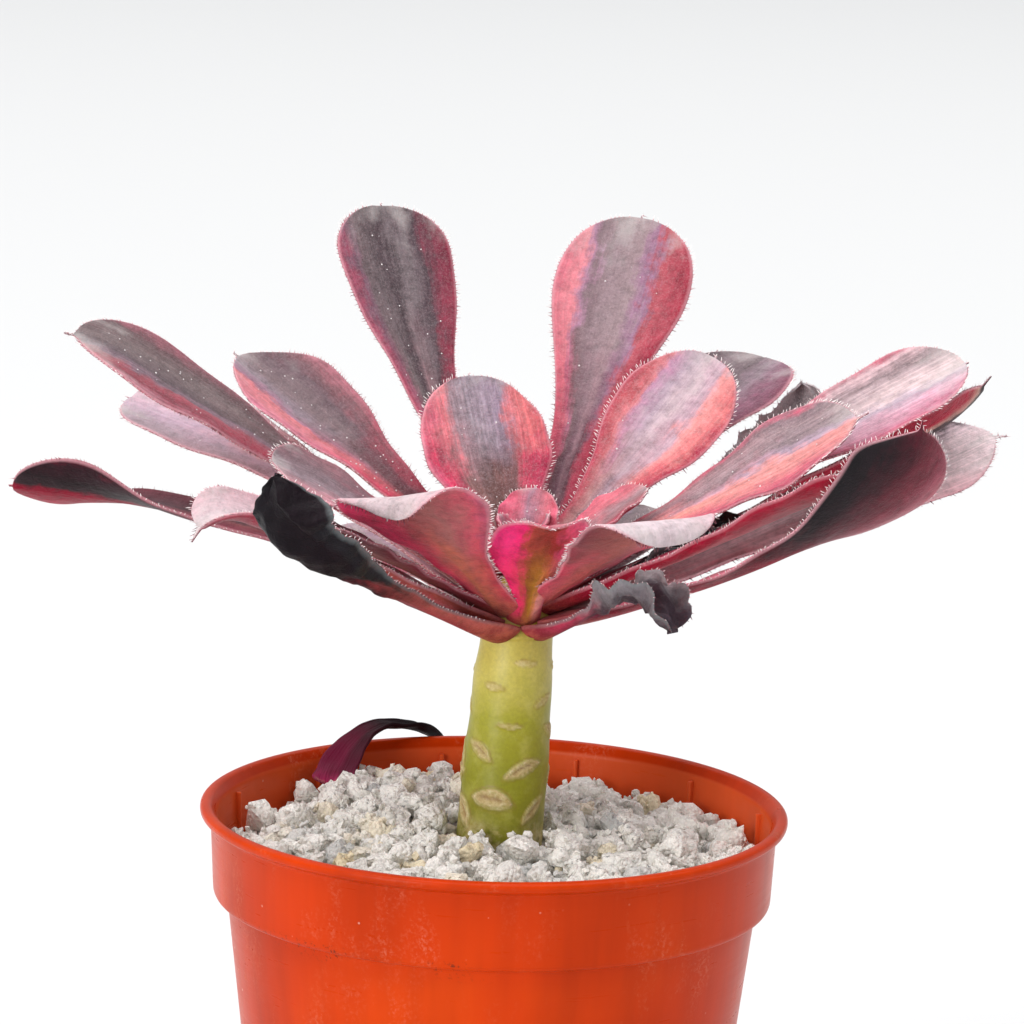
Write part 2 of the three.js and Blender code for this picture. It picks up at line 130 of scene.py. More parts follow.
def new_finish(name, **constants):
    material = bpy.data.materials.new(name)
    material.use_nodes = True
    tree = material.node_tree
    shader = tree.nodes["Principled BSDF"]
    for key, value in constants.items():
        shader.inputs[key.replace("_", " ")].default_value = value
    return material, tree, shader


def node(tree, kind, wires, out=0, **settings):
    made = tree.nodes.new(kind)
    for key, value in settings.items():
        setattr(made, key, value)
    for key, value in wires.items():
        if isinstance(value, bpy.types.NodeSocket):
            tree.links.new(value, made.inputs[key])
        else:
            made.inputs[key].default_value = value
    return made.outputs[out]


def math_of(tree, operation, a, b=0.0, c=0.0, clamped=False):
    return node(tree, "ShaderNodeMath", {0: a, 1: b, 2: c}, operation=operation, use_clamp=clamped)


def remap(tree, value, low, high, to_low=0.0, to_high=1.0, soft=True):
    kind = "SMOOTHSTEP" if soft else "LINEAR"
    return node(tree, "ShaderNodeMapRange", {0: value, 1: low, 2: high, 3: to_low, 4: to_high},
                interpolation_type=kind)


def mix(tree, factor, a, b, mode="MIX"):
    return node(tree, "ShaderNodeMix", {0: factor, 6: a, 7: b}, out=2, data_type="RGBA", blend_type=mode)


def ramp(tree, value, stops):
    made = tree.nodes.new("ShaderNodeValToRGB")
    tree.links.new(value, made.inputs[0])
    elements = made.color_ramp.elements
    while len(elements) < len(stops):
        elements.new(0.5)
    for element, (place, _) in zip(elements, stops):
        element.position = place
    for element, (_, colour) in zip(elements, stops):
        element.color = paint(colour) if isinstance(colour, str) else (colour, colour, colour, 1)
    return made.outputs[0]


def object_place(tree):
    return node(tree, "ShaderNodeTexCoord", {}, out=3)


def stretched(tree, place, scale, move=(0, 0, 0)):
    return node(tree, "ShaderNodeMapping", {0: place, 1: move, 3: scale})


def cloud(tree, place, scale, detail=3.0, roughness=0.5, twist=0.0):
    wires = {0: place, 2: scale, 3: detail, 4: roughness, "Distortion": twist}
    return node(tree, "ShaderNodeTexNoise", wires)


def cells(tree, place, scale):
    return node(tree, "ShaderNodeTexVoronoi", {0: place, "Scale": scale})


def bumped(tree, shader, height, distance, strength=1.0):
    lift = node(tree, "ShaderNodeBump", {"Strength": strength, "Distance": distance, "Height": height})
    tree.links.new(lift, shader.inputs["Normal"])


def read(tree, name):
    """A value that the mesh carries at each point, as a vector."""
    return node(tree, "ShaderNodeAttribute", {}, out=1, attribute_name=name)


def parts_of(tree, vector):
    made = tree.nodes.new("ShaderNodeSeparateXYZ")
    tree.links.new(vector, made.inputs[0])
    return made.outputs


print("node shorthands ready")

# %% [markdown]
# ## Pieces
# A finished piece is one mesh object at the origin, with its place in its mesh. It rides on the one body of
# the plant, takes its finishes and replaces the CAD nodes that it stands for.

# %% Pieces
def piece_from(bm, name, materials, replaced):
    mesh = bpy.data.meshes.new(name)
    bm.to_mesh(mesh)
    bm.free()
    made = bpy.data.objects.new(name, mesh)
    bpy.context.scene.collection.objects.link(made)
    for material in materials:
        mesh.materials.append(material)
    mesh.shade_smooth()
    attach(made, "root")
    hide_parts(*replaced)
    print(name, len(mesh.polygons), "faces")
    return made


def tube(rings, around, *carried):
    """A closed tube of rings, as (bmesh, its named layers, list of (vertex, ring, step round))."""
    bm = bmesh.new()
    for name in carried:
        bm.verts.layers.float_vector.new(name)
    bmesh.ops.create_cone(bm, cap_ends=True, segments=around, radius1=1, radius2=1, depth=1)
    walls = [edge for edge in bm.edges if abs(edge.verts[0].co.z - edge.verts[1].co.z) > 0.5]
    bmesh.ops.subdivide_edges(bm, edges=walls, cuts=rings - 2)
    places = []
    for vertex in bm.verts:
        ring = round((vertex.co.z + 0.5) * (rings - 1))
        step = round(math.atan2(vertex.co.y, vertex.co.x) / (2 * math.pi) * around) % around
        places.append((vertex, ring, step))
    return bm, [bm.verts.layers.float_vector[name] for name in carried], places


def clean(bm):
    bmesh.ops.remove_doubles(bm, verts=bm.verts, dist=1e-6)
    bmesh.ops.recalc_face_normals(bm, faces=bm.faces)


print("piece helpers ready")

# %% [markdown]
# ## Leaf skin
# A leaf of this plant is painted in long bands: grey or charcoal along the middle, lilac beside it, salmon to
# crimson at the margins. The bands are clearer near the tip and warmer near the root, and the underside has
# its own. So each point of a leaf carries its lane across (-1 to 1), its share of the way along and its side,
# and the finish blends four ramps of given colours by them. A warped lane makes the bands look grown.

# %% Leaf skin
def leaf_skin(name, colours, shift):
    finish, tree, skin = new_finish(
        name, Roughness=0.5, Specular_IOR_Level=colours["gloss"], Sheen_Weight=0.25 * colours["felt"],
        Sheen_Roughness=0.4, Sheen_Tint=paint("ffe9ec"), Subsurface_Weight=0.1,
        Subsurface_Radius=(0.003, 0.0012, 0.001), Subsurface_Scale=0.5)
    place, where = read(tree, "leaf_place"), object_place(tree)
    lane, along, side = parts_of(tree, place)
    rim = parts_of(tree, read(tree, "leaf_rim"))[0]
    broad = cloud(tree, stretched(tree, place, (1.6, 3.2, 0.6), shift), 1.4, 4)
    wander = math_of(tree, "SUBTRACT", broad, 0.5)
    narrow = cloud(tree, stretched(tree, place, (14, 2.4, 0.5), shift), 1, 5, 0.6)
    thread = math_of(tree, "SUBTRACT", narrow, 0.5)
    blot = math_of(tree, "SUBTRACT", cloud(tree, where, 260, 5, 0.62), 0.5)
    across = math_of(tree, "MULTIPLY_ADD", lane, 0.5, 0.5)
    for wobble, amount in ((wander, 0.3), (thread, 0.14), (blot, 0.26)):
        across = math_of(tree, "MULTIPLY_ADD", wobble, amount, across)
    way = math_of(tree, "MULTIPLY_ADD", wander, 0.5, math_of(tree, "MULTIPLY_ADD", blot, 0.3, along))
    near_tip = remap(tree, way, colours["change"] - 0.2, colours["change"] + 0.2)
    faces = []
    for far, close in (("tip", "foot"), ("under", "under_foot")):
        far, close = [[((at + 1) / 2, colour) for at, colour in colours[key]] for key in (far, close)]
        faces.append(mix(tree, near_tip, ramp(tree, across, close), ramp(tree, across, far)))
    above = remap(tree, side, -0.45, 0.25)
    bands = mix(tree, above, faces[1], faces[0])
    mottle = cloud(tree, where, 480, 5, 0.7)
    grain = cloud(tree, where, 2600, 3, 0.7, 1.0)
    lines = cloud(tree, stretched(tree, place, (17, 3.4, 1), shift), 1, 5, 0.66, 0.8)
    bands = mix(tree, 1.0, bands, ramp(tree, mottle, [(0.28, 0.62), (0.5, 0.96), (0.72, 1.2)]), "MULTIPLY")
    bands = mix(tree, 1.0, bands, paint("fdecf1"), "MULTIPLY")
    dark = remap(tree, lines, 0.42, 0.64, 1 - colours["streak"], 1.0)
    bands = mix(tree, above, bands, mix(tree, 1.0, bands, node(
        tree, "ShaderNodeCombineColor", {0: dark, 1: dark, 2: dark}), "MULTIPLY"))
    down = math_of(tree, "MULTIPLY", remap(tree, grain, 0.42, 0.7), colours["felt"])
    bands = mix(tree, math_of(tree, "MULTIPLY", down, above), bands, paint("dcc6ca"))
    faded = math_of(tree, "MULTIPLY", remap(tree, way, 0.9, 1.1), colours["faded"])
    bands = mix(tree, math_of(tree, "MULTIPLY", faded, above), bands, paint("c4bcba"))
    edge = math_of(tree, "MULTIPLY", remap(tree, rim, 0.93, 1.0), 0.55)
    bands = mix(tree, edge, bands, paint(colours["edge"]))
    root = remap(tree, along, 0.03, 0.17, 0.75, 0)
    root_colour = mix(tree, remap(tree, mottle, 0.35, 0.65), paint("8c3034"), paint("b45a48"))
    bands = mix(tree, root, bands, root_colour)
    tree.links.new(bands, skin.inputs["Base Color"])
    tree.links.new(remap(tree, side, -0.5, 0.3, 0.4, 0.58), skin.inputs["Roughness"])
    height = math_of(tree, "MULTIPLY_ADD", lines, colours["streak"], math_of(tree, "MULTIPLY", grain, 0.3))
    height = math_of(tree, "ADD", height, math_of(tree, "MULTIPLY_ADD", blot, 0.8, mottle))
    bumped(tree, skin, height, 0.0007, 0.7)
    return finish


print("leaf skin ready")

# %% [markdown]
# ## The leaves' shapes
# Each row is one leaf. It starts at a level on the crown, points in a compass direction (0 right, 90 back,
# 180 left, 270 front) and climbs at an angle. Bend, sweep, roll, twist and hook change it on the way to the
# tip. These are the rows of the imported solids, so a finer leaf lies where its solid does. Here a row may add
# a drawn-out point and a flared root, which the solids are too coarse to hold.
#
# The rows weren't all set by hand. Points were marked on the leaf edges in the photo, and a
# least-squares program fitted 22 of the rows to them. The rows were then changed over an outline laid
# on the photo. The upright, the left, and the upper and long right leaves still hold much of that fit.

# %% The leaves' shapes
def row(level, turn, rise, bend, sweep, length, width, roll, cup, wide_at, **more):
    return dict(level=level, turn=turn, rise=rise, bend=bend, sweep=sweep, length=length, width=width,
                roll=roll, cup=cup, wide_at=wide_at, **more)


LEAVES = {
    "leaf_back_left_upright": row(9, 123, 38, 18, -11, 86, 24, 2, 19, 0.86),
    "leaf_back_right_upright": row(8.5, 70, 38, 18, -3, 85, 27, 8, 8, 0.83),
    "leaf_left_back": row(7, 139, 31, -1, 15, 73, 25, -12, 24, 0.8, taper=0.75, point=1.2),
    "leaf_left_long": row(5, 175, 35, -4, 18, 93, 26, -17, 8, 0.85, hook=-18, hook_at=0.85, taper=0.75,
        point=2),
    "leaf_left_under": row(3, 148, 30, -18, 6, 88, 25, -12, 17, 0.85),
    "leaf_back_short": row(11, 118, 54, 3, -6, 40, 26, -2, 14, 0.6, neck=1.6),
    "leaf_right_broad": row(10, 36, 39, 6, 0, 57, 23.6, 26, 10, 0.74, neck=2.6),
    "leaf_right_back_grey": row(6.5, 49, 39.5, -19, -3, 76, 30, 2, 12, 0.82),
    "leaf_right_upper": row(7.5, 6, 28.8, 4, -18, 68, 28, 19, 15, 0.8, taper=0.75, point=2.4),
    "leaf_right_long": row(5.5, 17, 29.4, -1, -11, 92, 27, 16, 17, 0.84),
    "leaf_right_low": row(1, 17.5, 20, 2, -2, 94, 23, 24, 12, 0.84, taper=0.75, point=2.4, point_hook=-30),
    "leaf_right_edgewise": row(4.5, 13.5, 22, 4, -1, 94, 21, -27, 14, 0.84, hook=26, hook_at=0.82, taper=0.75,
        point=2.6),
    "leaf_right_front_large": row(2, 344, 13.5, 26, 0, 84, 23, -6, 22, 0.86, taper=0.75, twist=-40, neck=6,
        hook=44, hook_at=0.72, point=2, flare=1.4),
    "leaf_right_front_inner": row(4.5, 352, 23, 5, -1, 65, 20, -8, 38, 0.84),
    "leaf_front_left_folded": row(4.5, 237, 37, 0, 0, 50, 29, 12, 6, 0.8, hook=-140, hook_at=0.84, neck=2.6,
        flare=1.2),
    "leaf_front_right_folded": row(6, 307, 30.5, 0, 0, 48, 28, -1, 6, 0.8, hook=-140, hook_at=0.84, neck=2.6,
        flare=1.2),
    "leaf_front_small": row(3, 283, 50, 0, 0, 30, 20, 0, 30, 0.64, hook=-60, hook_at=0.84, neck=2.2),
    "leaf_far_left_twisted": row(0.5, 184, 28.7, -25, 0, 92, 18, -20, 30, 0.84, twist=64, twist_at=0.58,
        neck=7),
    "leaf_left_front_hooked": row(1.5, 212, 28.5, -8, -6, 66, 17, -8, 48, 0.81, hook=-75, hook_at=0.86,
        point=3, flare=1.4),
    "leaf_left_inner": row(6, 198, 39, -14, 0, 52, 21, -18, 12, 0.81),
    "leaf_left_front_inner": row(4, 216, 28, -4, 0, 46, 17, -6, 26, 0.8),
    "leaf_inner_back": row(12, 70, 70, -7, -2, 15, 13, -8, 19, 0.57),
    "leaf_inner_right": row(11, 7, 38, -3, -2, 27, 13, 10, 23, 0.64),
    "leaf_hidden_back": row(1, 96, 6, -4, 0, 68, 24, 0, 18, 0.84),
    "leaf_hidden_back_right": row(2.5, 66, 10, -4, 0, 64, 24, 0, 18, 0.84),
    "leaf_hidden_back_left": row(1.5, 124, 8, -4, 0, 60, 24, 0, 18, 0.84),
    "dried_leaf_black": row(0, 230, 22, 0, 0, 76, 19, 0, 45, 0.82, hook=85, hook_at=0.68, dry=True,
        flare=3.2),
    "dried_leaf_curled": row(3, 36, 25, 0, 0, 76, 13, 56, 25, 0.84, hook=80, hook_at=0.74, dry=True),
    "dried_leaf_small": row(3.5, 3.5, 25.5, 0, 0, 41, 6, 0, 40, 0.84, dry=True),
    "dried_leaf_hanging": row(0.5, 318, 23.5, 5, 0, 35, 13, 0, 40, 0.7, hook=-100, hook_at=0.58, dry=True,
        flare=3.6),
}
print(len(LEAVES), "leaves")

# %% [markdown]
# The midrib is walked in small steps from the root to the tip. Each step keeps its place and three
# directions: along the leaf, across it and out of its upper face. Everything on a leaf is placed by them.

# %% The midrib
WALK = 320
ROOT_SINK = 1
POINT_START = 0.97
MARGIN_WAVE = 0.3
DRIED_CURL = 1.6


def leaf_direction(leaf, s):
    at = leaf.get("hook_at", 0.8)
    climb = leaf["rise"] + leaf["bend"] * s + leaf.get("hook", 0) * clamp((s - at) / (1 - at)) ** 1.5
    if s > POINT_START:
        climb += leaf.get("point_hook", 0) * clamp((s - POINT_START) / 0.08)
    climb, heading = math.radians(climb), math.radians(leaf["turn"] + leaf["sweep"] * s)
    return Vector((math.cos(climb) * math.cos(heading), math.cos(climb) * math.sin(heading), math.sin(climb)))


def midrib(leaf):
    """Frames (share, place, along, across, up) from the root to the end of the point, in millimetres."""
    reach = 1 + leaf.get("point", 0.6) / leaf["length"]
    turn = math.radians(leaf["turn"])
    start = CROWN_RADIUS - CROWN_TAPER * leaf["level"] - ROOT_SINK
    place = Vector((CROWN_X + start * math.cos(turn), start * math.sin(turn), STEM_TOP + leaf["level"]))
    frames = []
    for k in range(WALK + 1):
        s = reach * k / WALK
        if k:
            place = place + leaf_direction(leaf, s - reach * 0.5 / WALK) * (leaf["length"] * reach / WALK)
        along = leaf_direction(leaf, s)
        heading = math.radians(leaf["turn"] + leaf["sweep"] * s)
        at = leaf.get("twist_at", 0.4)
        rolled = leaf["roll"] * smooth(s / 0.35) + leaf.get("twist", 0) * smooth((s - at) / (0.95 - at))
        across = Quaternion(along, math.radians(rolled)) @ Vector((-math.sin(heading), math.cos(heading), 0))
        frames.append((s, place.copy(), along, across, along.cross(across)))
    return frames


def half_width(leaf, s):
    if s < leaf["wide_at"]:
        blade = leaf["width"] / 2 * (0.3 + 0.7 * smooth(s / leaf["wide_at"]) ** leaf.get("neck", 3.5))
        return blade + leaf.get("flare", 0.5) * math.exp(-(s / 0.1) ** 2)
    past = clamp((s - leaf["wide_at"]) / (1 - leaf["wide_at"]))
    blade = leaf["width"] / 2 * max(0, 1 - past ** 2.2) ** leaf.get("taper", 0.5)
    reach = 1 + leaf.get("point", 0.6) / leaf["length"]
    tongue = (0.7 + 0.25 * leaf.get("point", 0.6)) * clamp((reach - s) / (reach - 0.92)) ** 0.8
    return max(0.12, math.sqrt(blade ** 2 + tongue ** 2))


def on_leaf(leaf, frames, share, lane, side):
    """The point at this share of the midrib, lane across and side (-1 under, 1 upper), in millimetres."""
    s, place, along, across, up = frames[int(clamp(share) * WALK + 0.5)]
    half = half_width(leaf, s)
    cup = math.radians(max(leaf["cup"], 1))
    lift = (1 - math.cos(cup * lane)) / cup * half
    shape = leaf.get("shift", 0)
    wave = MARGIN_WAVE * smooth(s / 0.4) * abs(lane) ** 3 * clamp(half / 4)
    lift += wave * math.sin(s * 31 + shape + 2 * lane)
    if leaf.get("dry"):
        shrunk = smooth((s - 0.25) / 0.4)
        lift += 0.7 * shrunk * math.sin(lane * 5 + s * 23)
        lift += 2.4 * shrunk * abs(noise.noise(Vector((lane * 1.6, s * 8, shape))))
        lift += 0.7 * shrunk * noise.noise(Vector((lane * 5, s * 30, shape)))
        half *= 1 + shrunk * (0.3 * noise.noise(Vector((s * 13, lane * 0.8, shape)))
                              + 0.12 * noise.noise(Vector((s * 45, lane, shape))))
        lift += DRIED_CURL * shrunk * max(0, abs(lane) - 0.75) ** 1.5 * 8 * clamp(half / 5)
    else:
        bulge = noise.noise(Vector((lane * 1.3, s * 5, shape)))
        groove = 0.25 * math.exp(-(lane * 7) ** 2) * (1 - s * 0.6)
        lift += 0.45 * bulge * smooth(s / 0.4) * clamp(half / 6) - groove
    core = 1.6 * (1 - 0.35 * s) + 1.2 * (1 - smooth(s / 0.3))
    rim = min(1, math.sqrt(max(0, 1 - lane * lane)) / 0.3)
    thick = (0.7 + (core - 0.7) * (1 - lane * lane)) / 2 * clamp(half / 1.2, 0.25, 1)
    return place + across * (math.sin(cup * lane) / cup * half) + up * (lift + side * rim * thick)


def leaf_body(leaf, frames, rings=84, around=40):
    bm, (place_of, rim_of), places = tube(rings, around, "leaf_place", "leaf_rim")
    for vertex, ring, step in places:
        share = 1 - (1 - ring / (rings - 1)) ** 1.5
        lane = math.sin(math.pi / 2 * (1 - 4 * (step if step <= around / 2 else around - step) / around))
        side = 0.0 if step in (0, around // 2) else (1.0 if step < around / 2 else -1.0)
        s = frames[int(share * WALK + 0.5)][0]
        vertex.co = on_leaf(leaf, frames, share, lane, side) * MM
        rounding = min(1, 2 * half_width(leaf, s) / leaf["width"]) if s > leaf["wide_at"] else 1
        vertex[place_of] = (lane * rounding, s, side)
        vertex[rim_of] = (abs(lane), 0, 0)
    bmesh.ops.recalc_face_normals(bm, faces=bm.faces)
    return bm


print("midrib ready")

# %% [markdown]
# ## Hairs and dew
# The margins carry a row of stiff pale hairs about a millimetre long, and they catch the light as a white
# fringe. Each is a three-sided spike, because there are thousands. They start in the skin and lean a little
# towards the tip. A hair that points down is coloured darker, as painted shade, and one that points up paler,
# as painted light. A few beads of dew lie on the upper faces, coloured near white as painted glints.

# %% Hairs and dew
def hair_finish():
    finish, tree, skin = new_finish("margin_hair", Roughness=0.45)
    painted_shade, _, root_to_tip = parts_of(tree, read(tree, "leaf_place"))
    pale = ramp(tree, root_to_tip, [(0.0, "b8566c"), (0.2, "e0a4ae"), (0.45, "f6e9e8"), (1.0, "fdf8f6")])
    dark = ramp(tree, root_to_tip, [(0.0, "5c1428"), (0.45, "6c2a3a"), (0.8, "a4707c"), (1.0, "dcc0c4")])
    # Painted shade: a hair that points down takes the dark ramp, one that points up the pale ramp.
    body = mix(tree, painted_shade, pale, dark)
    tree.links.new(body, skin.inputs["Base Color"])
    return finish


def dew_finish():
    finish, tree, skin = new_finish("dew", Roughness=0.08, Specular_IOR_Level=0.8)
    # The beads are coloured near white, as painted glints, though dew is clear.
    tone = cloud(tree, object_place(tree), 900, 2)
    tree.links.new(ramp(tree, tone, [(0.3, "c9bcbf"), (0.7, "fbf7f6")]), skin.inputs["Base Color"])
    return finish


def spike(bm, layer, root, way, size, thick, painted_shade):
    """One hair from its root, which is a little inside the skin."""
    turn = way.to_track_quat("Z", "Y").to_matrix().to_4x4()
    middle = Matrix.Translation((root + way * (size / 2 - 0.15)) * MM) @ turn
    made = bmesh.ops.create_cone(bm, cap_ends=True, segments=3, radius1=thick * MM, radius2=0.3 * thick * MM,
                                 depth=size * MM, matrix=middle)
    for vertex in made["verts"]:
        vertex[layer] = (painted_shade, 0, clamp((vertex.co / MM - root).dot(way) / size))


MARGIN_WALK = 1400


def margin_hairs(leaf, frames, chance, size=1.1, spacing=0.5, first=0.1):
    bm = bmesh.new()
    layer = bm.verts.layers.float_vector.new("leaf_place")
    for lane in (-1, 1):
        gone, before = 0.0, on_leaf(leaf, frames, first, lane, 0)
        for k in range(1, MARGIN_WALK):
            share = 1 - (1 - first) * (1 - k / MARGIN_WALK) ** 1.5
            here = on_leaf(leaf, frames, share, lane, 0)
            gone += (here - before).length
            if gone < spacing:
                before = here
                continue
            gone = chance.uniform(-0.35, 0.3)
            up = frames[int(share * WALK + 0.5)][4]
            ahead = on_leaf(leaf, frames, min(1, share + 0.004), lane, 0)
            behind = on_leaf(leaf, frames, share - 0.004, lane, 0)
            edge = (ahead - behind).normalized()
            out = (up.cross(edge) * lane).normalized()
            cup = math.radians(leaf["cup"])
            way = out * math.cos(cup) + up * math.sin(cup) + edge * chance.uniform(-0.1, 0.9)
            way = (way + up * chance.uniform(-0.45, 0.45)).normalized()
            # Painted shade: the further down a hair points, the darker it is marked.
            painted_shade = clamp(0.35 - 1.1 * way.z + chance.uniform(-0.35, 0.35))
            spike(bm, layer, here, way, size * chance.uniform(0.6, 1.2), chance.uniform(0.1, 0.16), painted_shade)
            before = here
    return bm


def dew_beads(leaf, frames, chance, count):
    bm = bmesh.new()
    for _ in range(count):
        share, lane = chance.uniform(0.35, 0.92), chance.uniform(-0.7, 0.7)
        spot = on_leaf(leaf, frames, share, lane, 1)
        bmesh.ops.create_icosphere(bm, subdivisions=1, radius=chance.uniform(0.1, 0.22) * MM,
                                   matrix=Matrix.Translation(spot * MM))
    return bm


def add_part(bm, extra, slot_number):
    """Puts another bmesh's faces into this one, on the given material of the piece."""
    for face in extra.faces:
        face.material_index = slot_number
    passing = bpy.data.meshes.new("passing")
    extra.to_mesh(passing)
    extra.free()
    bm.from_mesh(passing)
    bpy.data.meshes.remove(passing)


HAIR, DEW = hair_finish(), dew_finish()
print("hairs and dew ready")

# %% [markdown]
# ## The leaves' colours
# These are the bands of each leaf. The colours were mixed, and changed after the render and
# the photo had been compared at single spots. A band list runs from one margin to the other. Leaves without a
# row of their own take the usual colours of the plant.

# %% The leaves' colours
CHARCOAL, ASH, STONE, LILAC, SALMON = "51434a", "7d7678", "b3a5a6", "b895b4", "ea8f92"
ROSE, CRIMSON, MAROON, RUST = "cf5a74", "a81f40", "701d36", "b0564a"

USUAL = dict(
    tip=[(-1, ROSE), (-0.7, SALMON), (-0.4, LILAC), (-0.1, STONE), (0.3, ASH), (0.6, LILAC), (1, ROSE)],
    foot=[(-1, CRIMSON), (-0.55, ROSE), (-0.25, "96707c"), (0.2, "8b6470"), (0.6, ROSE), (1, "d84a6e")],
    under=[(-1, CRIMSON), (-0.4, MAROON), (0.1, "5c2634"), (0.5, MAROON), (1, CRIMSON)],
    under_foot=[(-1, "b83a52"), (-0.3, CRIMSON), (0.3, "a83a48"), (1, RUST)],
    change=0.55, streak=0.12, felt=0.14, edge="e0a4ae", gloss=0.2, faded=0.5)
DRY = dict(gloss=0.1, felt=0, edge="7c8486", faded=0)

